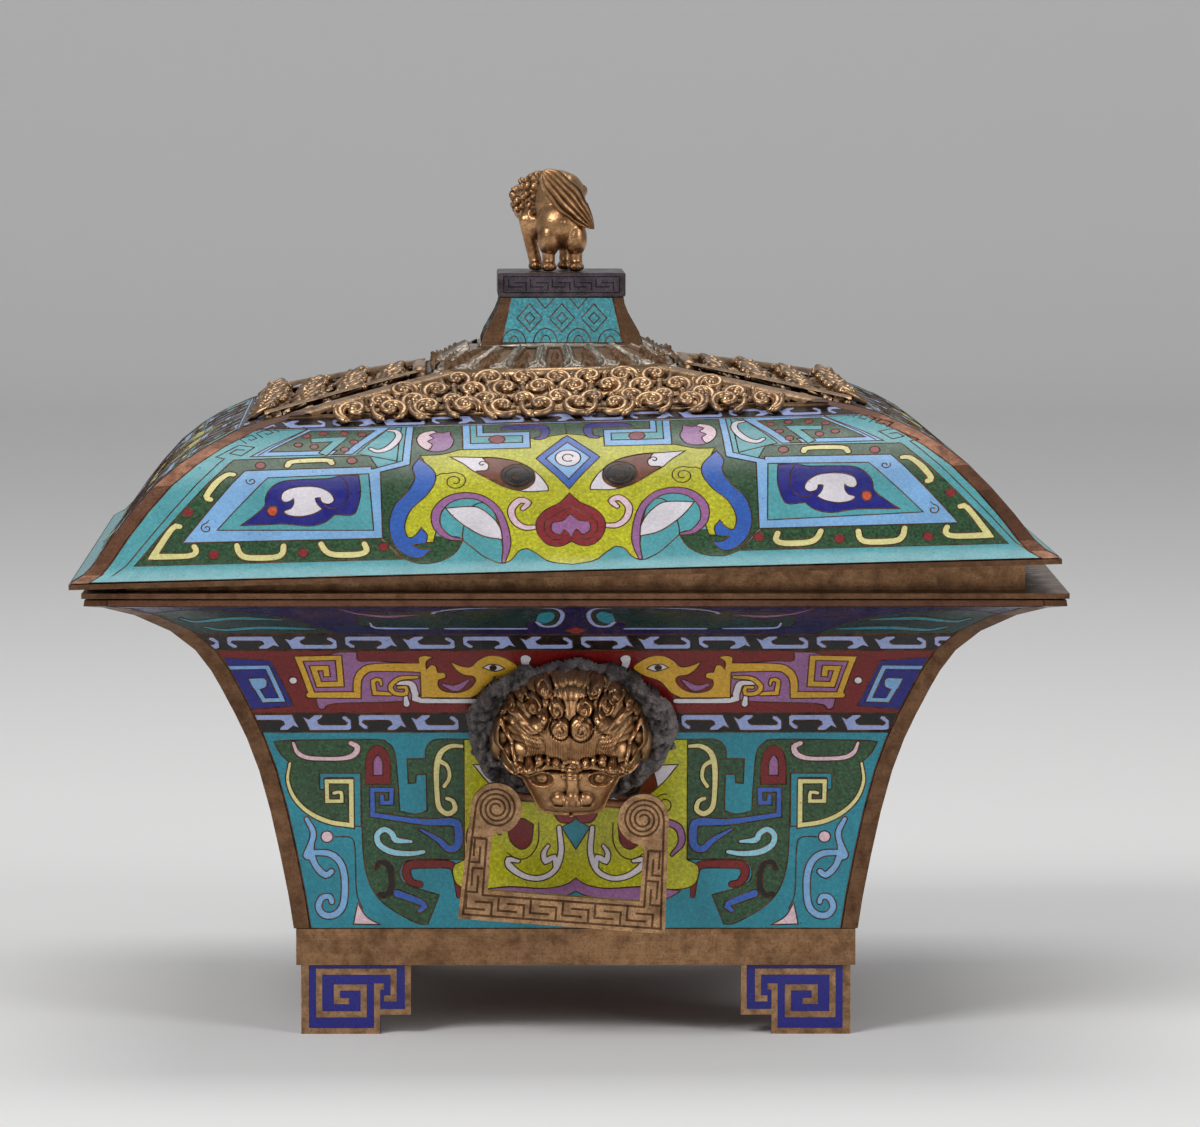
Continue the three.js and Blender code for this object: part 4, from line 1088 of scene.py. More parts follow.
wall.wire(spiral(-27.6, 40.6, 3.6, 1.6, 2.0, -1))
wall.cell("lilac", stroke([(-30, 24), (-33, 28), (-32, 33), (-27, 34.6), (-23.8, 31)],
    [1, 2.2, 2.4, 2.2, 1]))

wall_parts = laid_out(wall, sheet_border(WALL, POST + SLACK), unrolled(WALL)[1:-1])
print("wall design:", len(wall.cells), "cells and", len(wall_parts[1]), "triangles")

# %% Enamel on the four walls
for side in SIDES:
    laid_on("wall", "vessel", VESSEL, WALL, wall, wall_parts, side)

# %% [markdown]
# The gilt castings were modelled in wax: rolls, pellets and combed locks pressed on a ground. The
# same moves shape a height field here. A relief is a grid of spots on a sheet, each with a height.
# A ridge or a ball raises the spots near it with a round back, a groove lowers them, and each form
# either grows out of what is there or stands on a level of its own and covers what is lower.
# Afterwards, every spot that lies lower than its surroundings is marked `hollow`, and is darkened there:
# dirt and dark patina, and painted shade standing in for the shade in the hollows.

# %% Relief kit
COMBED = 0.22
BITTEN = 0.3


def mitred(outline, strip, step):
    """A grid over an unrolled panel. Every row runs from one mitred edge to the other."""
    border = sheet_border(outline, strip)
    half, s = border[:len(outline)].T
    rows = int(s[-1] / step) + 1
    columns = int(2 * half.max() / step) + 1
    v = np.linspace(0, s[-1], rows)
    u = np.linspace(-1, 1, columns)[None, :] * np.interp(v, s, half)[:, None]
    return u, np.broadcast_to(v[:, None], u.shape)


def squared(low, high, step):
    """A grid of square cells over a rectangle."""
    return np.meshgrid(np.arange(low[0], high[0], step), np.arange(low[1], high[1], step))


def flipped(way, *points):
    """Points of the right half, or with a way of -1 their mirror images."""
    return [(way * x, y) for x, y in points]


class Relief:
    """Heights over a grid of spots, in millimetres."""

    def __init__(self, grid, level=0.0):
        """The grid is flat at first, at one level."""
        self.u, self.v = grid
        self.height = np.full(self.u.shape, float(level))

    def patch(self, line, reach):
        """The spots within reach of a line's bounding box."""
        low, high = line.min(0) - reach, line.max(0) + reach
        return np.nonzero((self.u > low[0]) & (self.u < high[0]) & (self.v > low[1]) & (self.v < high[1]))

    def near(self, line, where):
        """Each spot's distance to a line, and how far along the line its nearest point is."""
        a, d = line[:-1], np.diff(line, axis=0)
        length = np.maximum(np.hypot(*d.T), 1e-9)
        x = self.u[where][:, None] - a[:, 0]
        y = self.v[where][:, None] - a[:, 1]
        t = np.clip((x * d[:, 0] + y * d[:, 1]) / length**2, 0, 1)
        away = np.hypot(x - t * d[:, 0], y - t * d[:, 1])
        nearest = away.argmin(1)
        rows = np.arange(len(away))
        s = unrolled(line)
        share = (s[nearest] + t[rows, nearest] * length[nearest]) / s[-1]
        return away[rows, nearest], share

    def lift(self, where, bulge, rise, on):
        """Raises spots by rise times bulge: from the ground, or from the level `on` if that is higher."""
        here = self.height[where]
        if on is None:
            self.height[where] = here + rise * bulge
        else:
            self.height[where] = np.where(bulge > 0, np.maximum(here, on + rise * bulge), here)

    def ridge(self, points, width, rise, on=None, lines=0, notches=0, power=0.5):
        """A roll of wax: rise times the root of 1 - (distance over half the width) squared. A power
        over a half makes its sides less steep. Lines run along its back, and notches lie across it."""
        line = path(points) if isinstance(points, list) else points
        widths = np.atleast_1d(np.asarray(width, float))
        where = self.patch(line, widths.max() / 2)
        away, share = self.near(line, where)
        off = away / (np.interp(share, np.linspace(0, 1, len(widths)), widths) / 2)
        bulge = np.clip(1 - off**2, 0, 1) ** power
        if lines:
            bulge = bulge * (1 - COMBED + COMBED * np.cos(2 * np.pi * lines * off))
        if notches:
            bulge = bulge * (1 - BITTEN + BITTEN * np.cos(2 * np.pi * notches * share))
        self.lift(where, bulge, rise, on)

    def ball(self, x, y, radius, rise, wide=1.0, lean=0.0, on=None, power=0.5):
        """Half a ball, or half an egg whose long axis leans. A power over a half flattens its edge."""
        c, s = math.cos(math.radians(lean)), math.sin(math.radians(lean))
        where = self.patch(np.array([[x, y]]), radius * max(wide, 1))
        dx, dy = self.u[where] - x, self.v[where] - y
        off = ((dx * c + dy * s) / (radius * wide)) ** 2 + ((dy * c - dx * s) / radius) ** 2
        self.lift(where, np.clip(1 - off, 0, 1) ** power, rise, on)

    def cushion(self, points, rise, bevel, on):
        """A plump form inside a closed outline: it rises in a quarter circle over the bevel's width."""
        ring = path(points, closed=True)
        where = self.patch(ring, 0)
        held = inside(np.stack([self.u[where], self.v[where]], 1), ring)
        where = tuple(w[held] for w in where)
        away, _ = self.near(np.concatenate([ring, ring[:1]]), where)
        depth = np.minimum(away / bevel, 1)
        self.lift(where, np.sqrt(1 - (1 - depth) ** 2) + 1e-6, rise, on)

    def groove(self, points, width, depth):
        """Cuts a round-bottomed line."""
        line = path(points) if isinstance(points, list) else points
        where = self.patch(line, width / 2)
        away, _ = self.near(line, where)
        self.height[where] -= depth * np.clip(1 - (2 * away / width) ** 2, 0, 1)

    def knob(self, x, y, radius, rise):
        """A curl seen end on: a ball in a sunk ring."""
        self.groove(disc(x, y, radius * 1.2), radius * 0.7, radius * 0.45)
        self.ball(x, y, radius, rise)

    def curl(self, x, y, radius, turns, start, hand, rise):
        """A coiled lock: a spiral ridge that thins towards its middle."""
        line = spiral(x, y, radius * 0.8, turns, start, hand)
        self.ridge(line, [radius * 0.42, radius * 0.3], rise)

    def hollows(self, span, depth):
        """How far each spot lies below the mean of its surroundings, as a share of depth."""
        total = self.height.astype(float)
        for axis in (0, 1):
            pad = [(0, 0), (0, 0)]
            pad[axis] = (span + 1, span)
            sums = np.cumsum(np.pad(total, pad, mode="edge"), axis=axis)
            length = total.shape[axis]
            late = np.take(sums, np.arange(length) + 2 * span + 1, axis=axis)
            early = np.take(sums, np.arange(length), axis=axis)
            total = (late - early) / (2 * span + 1)
        return np.clip((total - self.height) / depth, 0, 1)


def cast(name, relief, carrier_points, material, body, hollow, keep=None):
    """The relief becomes a piece. Spots that `keep` rules out leave holes, and `hollow` gives the
    span and the depth for its hollows."""
    rows, columns = relief.u.shape
    at = np.arange(rows * columns).reshape(rows, columns)
    quads = np.stack([at[:-1, :-1], at[:-1, 1:], at[1:, 1:], at[1:, :-1]], -1).reshape(-1, 4)
    # These marks darken the hollows with the metal's third colour: on most metals painted shade, with dirt.
    marks = relief.hollows(*hollow).ravel()
    if keep is not None:
        quads = quads[keep.ravel()[quads].all(1)]
        used, fresh = renumbered(quads, rows * columns)
        carrier_points, marks, quads = carrier_points[used], marks[used], fresh[quads]
    piece = as_piece(name, carrier_points, quads, material)
    return finished(piece, body, marks)


def spots(relief):
    """The grid's flat spots and their heights, as two arrays."""
    return np.stack([relief.u.ravel(), relief.v.ravel()], 1), relief.height.ravel()


print("the relief kit has ridges, balls, grooves, knobs and curls")

# %% [markdown]
# The openwork lets the smoke out. It is a thick tangle of C-scrolls in four rows, inside a plain
# border. It is seen almost edge on, where a height field shows only its steep walls. So the sheet
# under the scrolls is a relief of low domes with holes between them, and the scrolls are round
# rolls swept along spirals, each with a pellet in its middle. Every coil leans out a little, as the
# cast ones do. A loop lays the rows: neighbours turn opposite ways, and the right half mirrors the
# left. The lowest row hangs out over the top of the enamelled panel.

# %% Rolls of wax
ROLL_SIDES = 10


def rolled(lines):
    """Round rolls along runs of (across, along, height, radius) spots. Point (t, a) of a roll is
    line(t) + radius(t) (cos a times side + sin a times up), where side is square to the run."""
    angle = np.linspace(0, 2 * math.pi, ROLL_SIDES, endpoint=False)[None, :, None]
    points, faces, first = [], [], 0
    for line in lines:
        ahead = np.gradient(line[:, :3], axis=0)
        ahead /= np.linalg.norm(ahead, axis=1, keepdims=True)
        aside = np.cross(ahead, [0, 0, 1.0])
        aside /= np.linalg.norm(aside, axis=1, keepdims=True)
        above = np.cross(aside, ahead)
        rings = line[:, 3, None, None] * (np.cos(angle) * aside[:, None] + np.sin(angle) * above[:, None])
        points.append((line[:, None, :3] + rings).reshape(-1, 3))
        start = first + np.arange(ROLL_SIDES)
        stop = start[::-1] + (len(line) - 1) * ROLL_SIDES
        faces += (first + hoops(len(line), ROLL_SIDES)).tolist() + [start.tolist(), stop.tolist()]
        first += len(line) * ROLL_SIDES
    return np.concatenate(points), faces


def roll_line(flat, height, thick, thin):
    """A run with its heights, and a radius that goes from thick to thin and rounds off at the ends."""
    share = np.linspace(0, 1, len(flat))
    radius = (thick + (thin - thick) * share) * np.clip(1 - np.abs(2 * share - 1) ** 14, 0.01, 1) ** 0.5
    return np.column_stack([flat, height + 0 * share, radius])


def pellet(x, y, height, radius):
    """A ball as a short roll: its radius is the root of r squared less the way from the middle squared."""
    t = np.cos(np.linspace(math.pi - 0.1, 0.1, 9))
    return np.column_stack([x + radius * t, 0 * t + y, 0 * t + height, radius * np.sqrt(1 - t**2)])


# %% Openwork
OPEN_STEP = 0.5
FRINGE = 6.0
COIL = 4.7
OVER_ENAMEL = 0.45
roof_s = unrolled(ROOF)
fringe_start = [np.interp(roof_s[-1] - FRINGE, roof_s, ROOF[:, axis]) for axis in (0, 1)]
OPEN_SHEET = np.concatenate([[fringe_start], ROOF_TOP])
open_s = unrolled(OPEN_SHEET)
edge = sheet_border(OPEN_SHEET, HIP)
half_low = edge[1, 0]
half_high = edge[len(OPEN_SHEET) - 1, 0]
openwork = Relief(mitred(OPEN_SHEET, HIP, OPEN_STEP), -3.0)
chance = np.random.default_rng(5)
rolls = []
SCROLL_ROWS = ((6.4, 11.6), (19.2, 11.2), (32.2, 10.8), (45.4, 10.4))
for row, (level, pitch) in enumerate(SCROLL_ROWS):
    half = np.interp(level, [open_s[1], open_s[-1]], [half_low - 12, half_high - 7])
    stands = 2.5 if row == 0 else 1.1
    lean = 0.3 if row == 0 else 0.36
    for k, x in enumerate(np.arange(pitch / 2 if row % 2 == 0 else 0, half, pitch)):
        hand = 1 if (k + row) % 2 else -1
        begin = chance.uniform(-0.4, 0.4) * math.pi - math.pi / 2
        y = level + chance.uniform(-1.2, 1.2)
        size = chance.uniform(0.9, 1.12)
        leaf = chance.uniform(30, 150)
        for side in (1, -1) if x > 0 else (1,):
            coil = spiral(side * x, y, COIL * size, 1.2, begin if side > 0 else math.pi - begin, hand * side)
            climb = stands + (coil[:, 1] - y) * lean + np.linspace(0, 0.8, len(coil))
            rolls.append(roll_line(coil, climb, 1.3, 0.9))
            rolls.append(roll_line(coil * 0.78 + [0.22 * side * x, 0.22 * y], climb - 0.5, 0.8, 0.6))
            rolls.append(pellet(side * x, y - 0.3, stands + 0.7, 1.6))
            tip = (side * (x + pitch * 0.5), y + 5.2 * math.sin(math.radians(leaf)))
            stem = path([(side * (x + pitch * 0.16), y - 5.6), (side * (x + pitch * 0.44), y - 2.5), tip])
            rolls.append(roll_line(stem, stands + np.linspace(-1.6, 0.6, len(stem)), 1.15, 0.8))
            rolls.append(pellet(*tip, stands + 0.5, 1.25))
            openwork.ball(side * x, y, COIL * size + 0.6, 2.0, on=-1.2, power=0.8)
            openwork.ball(*tip, 3.0, 1.4, on=-1.2, power=0.8)
bars_across = ((half_high + 1.5, open_s[-1] - 2.2, 2.3), (half_low - 1.3, FRINGE + 1.2, 1.0))
for reach_out, y, radius in bars_across:
    rolls.append(roll_line(np.array([[-reach_out, y], [reach_out, y]]), 0.2, radius, radius)[[0, 0, 1, 1]]
                 + [[-0.1, 0, 0, 0], [0, 0, 0, radius], [0, 0, 0, radius], [0.1, 0, 0, 0]])
for side in (1, -1):
    openwork.ridge(np.array([[side * (half_low - 3.6), FRINGE], [side * (half_high - 3.6), open_s[-1]]]),
                   7.0, 3.4, on=-0.8, power=0.25)
over_roof = openwork.v < FRINGE + 0.3
lowest = np.where(over_roof, OVER_ENAMEL, -1.3)
hangs = (openwork.height > OVER_ENAMEL) & (np.abs(openwork.u) < half_low - 8)
solid = np.where(over_roof, hangs, openwork.height > -1.15)
flat, height = spots(openwork)
raised, _ = on_sheet(OPEN_SHEET, flat, np.maximum(height, lowest.ravel()))
roll_points, roll_faces = rolled(rolls)
roll_raised, _ = on_sheet(OPEN_SHEET, roll_points[:, :2], roll_points[:, 2])
# The rolls darken towards the sheet below them, and the ground darkens in its hollows: painted shade, with
# dirt.
roll_shade_and_dirt = np.clip((1.6 - roll_points[:, 2]) / 2.6, 0, 1)
for side in SIDES:
    ground = cast(f"openwork_ground_{side}", openwork, placed(raised, LID, side), OPEN_GILT, "lid",
                  (4, 1.2), solid)
    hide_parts(f"openwork_{side}")
    piece = as_piece(f"openwork_rolls_{side}", placed(roll_raised, LID, side), roll_faces, OPEN_GILT)
    finished(piece, "lid", roll_shade_and_dirt)
print("openwork has", len(rolls), "rolls and", len(roll_faces), "faces on each side")

# %% [markdown]
# The plate on top is ringed with lotus lappets that fan out from the finial's foot. Each lappet is
# two raised outlines, one inside the other, round a cluster of pellets. Verdigris has dulled the
# outlines, and the gilding has stayed in the cups: on this metal, `hollow` brings in its colour
# instead of the dirt and painted shade that it brings on the others, so the cups are marked as hollow.

# %% Lotus lappets
LAPPETS = np.array([[40.6, 54.2], [40.6, 56.6], [33, 60.3], [26.9, LAPPET_TOP]])
PELLETS = ((0, 0), (-1.6, 0.5), (1.6, 0.5), (-0.8, 1.9), (0.9, 2.1), (-0.2, 3.8), (0, 5.6), (0.3, 7.4))
lappets = Relief(mitred(LAPPETS, 0.0, 0.3))
foot_line = unrolled(LAPPETS)[1]
top_line = unrolled(LAPPETS)[-1]
for k in range(-3, 4):
    outer = 11.6 * k
    inner = 0.62 * outer
    for share in (1.0, 0.66):
        wide = 5.4 * share
        neck = 3.4 * share
        tip = foot_line + 0.5 + (1 - share) * 5
        lappets.ridge([(inner - neck, top_line), (outer * 0.86 - wide, 8.4), (outer - wide * 0.7, tip + 2.2),
                       (outer, tip, 0), (outer + wide * 0.7, tip + 2.2), (outer * 0.86 + wide, 8.4),
                       (inner + neck, top_line)], 1.5, 1.0)
    for dx, dy in PELLETS:
        lappets.ball(outer * (0.97 - 0.022 * dy) + dx, foot_line + 3.4 + dy, 1.15, 1.5)
lappets.ridge(np.array([[-40, foot_line * 0.5], [40, foot_line * 0.5]]), 1.8, 0.5)
flat, height = spots(lappets)
raised, _ = on_sheet(LAPPETS, flat, height + 0.15)
gilt_part = np.zeros(len(flat))
for k in range(-3, 4):
    cup = path([(7.2 * k - 2, top_line), (10.6 * k - 2.8, 8), (11.6 * k, foot_line + 1.6),
                (10.6 * k + 2.8, 8), (7.2 * k + 2, top_line)], closed=True)
    gilt_part = np.where(inside(flat, cup), np.where(height > 0.4, 0.9, 0.75), gilt_part)
for side in SIDES:
    piece = cast(f"lappet_relief_{side}", lappets, placed(raised, LID, side), GREY_GILT, "lid", (4, 0.5))
    marks = np.zeros(len(flat), np.float32)
    written = piece.data.attributes["hollow"].data
    written.foreach_get("value", marks)
    written.foreach_set("value", np.maximum(marks * 0.7, gilt_part).astype(np.float32))
print("lappets:", 7 * len(SIDES))

# %% [markdown]
# The lion mask leans out with the wall. Its frame has x across, y out of the wall and z up, and
# the relief's height is measured out from the back of the grey plate that it is bedded on. The
# head is roughed out first: a broad dome and the jutting muzzle. Hair is then combed outwards, and
# curls, horns, ears, brows, eyes and the nose are pressed on. What has two sides is looped over
# both.

# %% Mask frames and the grey plate
PLATE_ENDS = ((96.2, 75.0), (115.6, 121.5))
MASK_X = -1.5
PLATE_STANDS = 0.4
PLATE_WIDE = 32.8
PLATE_HIGH = 25.1
LEAD_LUMPS = 760
lean = math.atan2(PLATE_ENDS[1][0] - PLATE_ENDS[0][0], PLATE_ENDS[1][1] - PLATE_ENDS[0][1])
mask_out = (PLATE_ENDS[0][0] + PLATE_ENDS[1][0]) / 2 + PLATE_STANDS * math.cos(lean)
mask_up = (PLATE_ENDS[0][1] + PLATE_ENDS[1][1]) / 2 - PLATE_STANDS * math.sin(lean)
MASK = move(MASK_X, -mask_out, mask_up) @ turn("x", math.degrees(lean))


def carried(points, frame_in_side, side):
    """Points in a frame that stands on the front side, taken to any side of the vessel."""
    m = VESSEL @ turn("z", SIDES[side]) @ frame_in_side
    return (points @ m[:3, :3].T + m[:3, 3]) * MM


def faced(relief):
    """A relief that faces the front: across, out and up."""
    return np.stack([relief.u.ravel(), -relief.height.ravel(), relief.v.ravel()], 1)


plate = Relief(squared((-37, -30), (37, 30), 0.36))
angle = np.arctan2(plate.v, plate.u)
ragged = 1 + 0.02 * np.sin(5 * angle + 1) + 0.016 * np.sin(9 * angle) + 0.012 * np.sin(17 * angle + 2)
reach = np.hypot(plate.u / PLATE_WIDE, plate.v / PLATE_HIGH) / ragged
plate.height = np.where(reach < 1, 3.0 * np.clip((1 - reach) / 0.07, 0, 1) ** 0.5, -3.0)
chance = np.random.default_rng(11)
for _ in range(LEAD_LUMPS):
    x, y, size = chance.uniform(-32, 32), chance.uniform(-25, 25), chance.uniform(0.5, 1.9)
    if math.hypot(x / PLATE_WIDE, y / PLATE_HIGH) < 0.98:
        plate.ball(x, y, size, size * chance.uniform(0.35, 0.85), wide=chance.uniform(1, 1.8),
                   lean=chance.uniform(0, 180))

# %% Lion mask
mask = Relief(squared((-27, -24), (27, 25), 0.2), 1.5)
mask.ball(0, 3, 20.5, 15, wide=1.12, on=3.6, power=0.8)
for side in (-1, 1):
    mask.ball(side * 13, -4, 8, 8.5, wide=1.1, on=7)
    mask.ball(side * 20.4, 1, 9.4, 5, wide=0.5, lean=side * 12, on=4.2)
mask.cushion([(-16, -1), (-15.2, -9), (-12, -16), (-10, -20.4), (-6, -21.8), (0, -22.2), (6, -21.8),
    (10, -20.4), (12, -16), (15.2, -9), (16, -1)], 7.2, 9.5, on=12.2)
spread = np.hypot(mask.u, mask.v - 4)
hair = np.clip((spread - 8) / 3, 0, 1) * np.clip((mask.v - 1) / 3, 0, 1) * (mask.height > 3)
mask.height += 0.26 * hair * np.cos(46 * np.arctan2(mask.u, mask.v - 4))
for half, low, count in ((5.8, 17.8, 13), (4.4, 21.4, 9)):
    mask.ridge([(-half, low), (0, low + 0.9), (half, low)], 3.2, 1.1, notches=count)
for side in (-1, 1):
    mask.ridge(flipped(side, (4.1, 9.4), (4.4, 4), (4.2, -0.6)), [7.4, 8.2, 7.2], 1.1, lines=5)
    mask.ridge(flipped(side, (17.4, 8.6), (13.2, 6), (11, 2), (12.2, -2.4)), [3.6, 5.6, 6, 4.6],
        1.8, lines=4)
    mask.ridge(flipped(side, (22.2, 8), (20.8, 2), (17.2, -4.4)), [2.4, 6.6, 2.6], 2.2)
    mask.ridge(flipped(side, (21.7, 6), (20.6, 1.6), (18.2, -2.6)), [1.0, 3.6, 1.2], -2.4)
    mask.ridge(flipped(side, (20.4, 11.6), (16.6, 11.4), (13.4, 9), (10.6, 9.6), (8.6, 12.4)),
        [1.8, 2.8, 3.2, 4.2, 3.6], 2.6)
    mask.ball(side * 8.5, 12.6, 2.0, 1.2)
CURLS = [
    (-15.6, 16.6, 2.5, 1), (-8.2, 19.4, 2.9, -1), (7.6, 19.6, 2.9, 1), (13.6, 17.2, 2.5, -1),
    (-11.6, 14.8, 2.9, -1), (-4.4, 14.9, 2.7, 1), (4.3, 14.9, 2.8, -1), (11.2, 14.9, 2.9, 1),
    (-18.8, 13.6, 1.9, 1), (18.2, 13.8, 1.9, -1), (20.8, 10.2, 1.6, 1), (-21, 10.2, 1.6, -1),
]
for x, y, radius, hand in CURLS:
    mask.ball(x, y, radius * 1.05, 0.9, power=0.9)
    mask.groove(disc(x, y, radius * 0.98), 0.7, 0.8)
    mask.curl(x, y, radius, 1.5, 0.4 * x, hand, 1.0)
    mask.ball(x, y, radius * 0.46, radius * 0.6)
BROW_KNOBS = [
    (4.6, -1.6, 1.35), (7.2, -1.2, 1.1), (9.7, -1.4, 1.5), (12.7, -2.6, 1.35), (15.8, -4.2, 1.2),
]
for side, radius in ((-1, 3.2), (1, 3.9)):
    mask.groove(disc(side * 3.3, 9.6, radius), 0.8, 0.9)
    mask.curl(side * 3.3, 9.6, radius, 2.3, math.pi / 2, side, 1.3)
    mask.ball(side * 3.3, 9.6, 0.8, 1.1)
for side in (-1, 1):
    mask.ridge(flipped(side, (2.4, -3.2), (7, -2.6), (12, -3.8), (17.2, -6)), [2.2, 3.6, 3.6, 2], 1.9)
    for x, y, radius in BROW_KNOBS:
        mask.knob(side * x, y, radius, radius * 1.15)
    mask.groove(flipped(side, (2.6, -5), (8, -4.8), (13.4, -6), (17, -8.2)), 1.4, 1.2)
    mask.ball(side * 9.2, -7.6, 2.3, -1.8, wide=1.75, lean=-side * 8)
    lid_line = disc(0, 0, 2.2, 1.75) @ np.array([[1, -side * 0.12], [side * 0.12, 1]]) + [side * 9.2, -7.6]
    mask.ridge(np.concatenate([lid_line, lid_line[:2]]), 0.8, 0.6)
    mask.ball(side * 9.0, -7.5, 1.5, 1.5, wide=1.3)
    mask.ball(side * 9.0, -7.7, 0.5, -0.7)
    mask.ridge(flipped(side, (22.4, -5.4), (18.8, -8), (15.2, -9.4), (12.3, -16), (10.2, -20.2),
        (6, -21.5), (0, -21.9)), [0.8, 1.2, 1.5, 1.6, 1.6], 1.2)
    mask.groove(flipped(side, (14.2, -9.6), (11.2, -16), (9, -19.4), (0, -20.4)), 1.4, 0.5)
    mask.ball(side * 3.9 + 0.5, -14, 2.5, 2.4, wide=1.15)
    mask.ball(side * 4.1 + 0.5, -16.3, 1.3, -1.8, wide=1.5)
mask.ridge([(0.4, -4), (0.5, -9), (0.6, -13.6)], [4.4, 3.4, 5], 1.7)
for k in range(5):
    mask.ridge([(-2.6, -1.9 - 1.15 * k), (0.2, -1.5 - 1.15 * k), (3, -1.9 - 1.15 * k)], 1.05, 1.0)
mask.ball(0.6, -14, 3, 1.6, wide=1.1)
held = mask.height > 1.7
# The lead bed and the mask darken in their hollows: painted shade, with dirt.
for side in ("front", "back"):
    piece = cast(f"lead_bed_{side}", plate, carried(faced(plate), MASK, side), LEAD, "vessel",
                 (4, 0.9), plate.height > -2.9)
    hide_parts(f"mask_plate_{side}")
    piece = cast(f"mask_relief_{side}", mask, carried(faced(mask), MASK, side), GILT, "vessel",
                 (6, 0.8), held)
    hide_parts(f"lion_mask_{side}")
print("two lion masks, each", int(held.sum()), "spots")

# %% [markdown]
# Flat work is cut in steps. The face is triangulated along every line of its pattern, just as the
# enamel is. Then the lands stay high, the grooves lie low, and a wall stands on each edge between
# them. The drop handles are engraved so, with a key fret between border lines and a spiral on each
# disc. Each handle hangs in its own frame, which leans as the photographed one does.

# %% Stepped faces
def risen(flat, faces, high, low_level, high_level, back=None):
    """The high faces with a wall at each of their edges: down to the low level beside a low face,
    and down to the back on the rim. With a back, the slab is closed by a plain rear face."""
    a = faces
    b = np.roll(faces, -1, axis=1)
    edges = np.stack([a.ravel(), b.ravel()], 1)
    owner = np.repeat(high, 3)
    lookup = {tuple(e): o for e, o in zip(edges.tolist(), owner.tolist())}
    count = len(flat)
    wall_low, wall_back = [], []
    for (p, q), up in zip(edges.tolist(), owner.tolist()):
        other = lookup.get((q, p))
        if up and other is False:
            wall_low.append((p, p + count, q + count, q))
        elif other is None and (up or back is not None):
            top = p if up else p + count
            wall_back.append((top, p + 2 * count, q + 2 * count, top - p + q))
    levels = (high_level, low_level, low_level if back is None else back)
    points = np.concatenate([np.column_stack([flat, np.full(count, level)]) for level in levels])
    kept = faces[high].tolist() + wall_low + wall_back
    if back is not None:
        kept += (faces[:, ::-1] + 2 * count).tolist()
    return points, kept


def facing(out):
    """Lays (across, up, height) on a plane that faces the front, `out` millimetres from the middle."""
    return lambda points: np.stack([points[:, 0], -out - points[:, 2], points[:, 1]], 1)


# The groove floors take this share of the metal's dark colour: painted shade in the cut, with dirt.
GROOVE_SHADE_AND_DIRT = 0.7


def engraved(name, border, grooves, depth, lay, material, body, back):
    """A slab whose face has dark grooves: the lands and the groove floors are two pieces. `lay`
    takes (across, up, height) to where the slab belongs."""
    pattern = Design("land")
    for line in grooves:
        pattern.cell("groove", line, both=False)
    flat, faces, top, _ = laid_out(pattern, border)
    points, kept = risen(flat, faces, top == 0, -depth, 0.0, back)
    lands = as_piece(f"{name}_lands", lay(points), kept, material, smooth=False)
    floor = np.column_stack([flat, np.full(len(flat), -depth)])
    floors = as_piece(f"{name}_grooves", lay(floor), faces[top > 0], material)
    finished(floors, body, GROOVE_SHADE_AND_DIRT)
    return finished(lands, body, 0.0)


# %% Drop handles
PIVOT_OUT = 111.0
PIVOT_UP = 76.5
BAIL_SHEET = 4.2
BAIL_HALF = 32.2
BAIL_BAR = 8.6
BAIL_LOW_BAR = 9.4
BAIL_DROP = 39.1
BAIL_CUT = 0.45
SCROLL_X, SCROLL_Z, SCROLL_RADIUS = 22.8, -4.0, 7.9
BAIL_HANG = {"front": 4.3, "back": -1.5}
EDGE = 1.5
GROOVE = 0.7
FRET_PITCH = 9.3
FRET_LONG = 10.0
inner_x = BAIL_HALF - BAIL_BAR
inner_z = -BAIL_DROP + BAIL_LOW_BAR


def arc(x, y, radius, start, stop, count=24):
    """Part of a circle, from one angle to another in degrees."""
    a = np.radians(np.linspace(start, stop, count))
    return np.stack([x + radius * np.cos(a), y + radius * np.sin(a)], 1)


def bail_outline():
    """The frame with its window cut in from above, as the CAD outline has it."""
    right = arc(SCROLL_X, SCROLL_Z, SCROLL_RADIUS, 0, 270, 40)
    corner = SCROLL_Z - SCROLL_RADIUS - 1.4
    half = np.concatenate([[[BAIL_HALF, -BAIL_DROP]], right, [[inner_x, corner], [inner_x, inner_z]]])
    return np.concatenate([half, half[::-1] * [-1, 1]])


def fret_unit(start, along, across):
    """Two hooked grooves that interlock, in a cell given by its corner and its two sides."""
    start, along, across = (np.array(v, float) for v in (start, along, across))
    hooks = (((0, 1), (0, 0.3), (0.6, 0.3)), ((0.26, 0.66), (0.8, 0.66), (0.8, 0)))
    return [np.array([start + a * along + c * across for a, c in hook]) for hook in hooks]


def cut_line(points, width=GROOVE):
    """A groove of even width whose corners are sharp."""
    return stroke(sharp(*points), width, square=True)


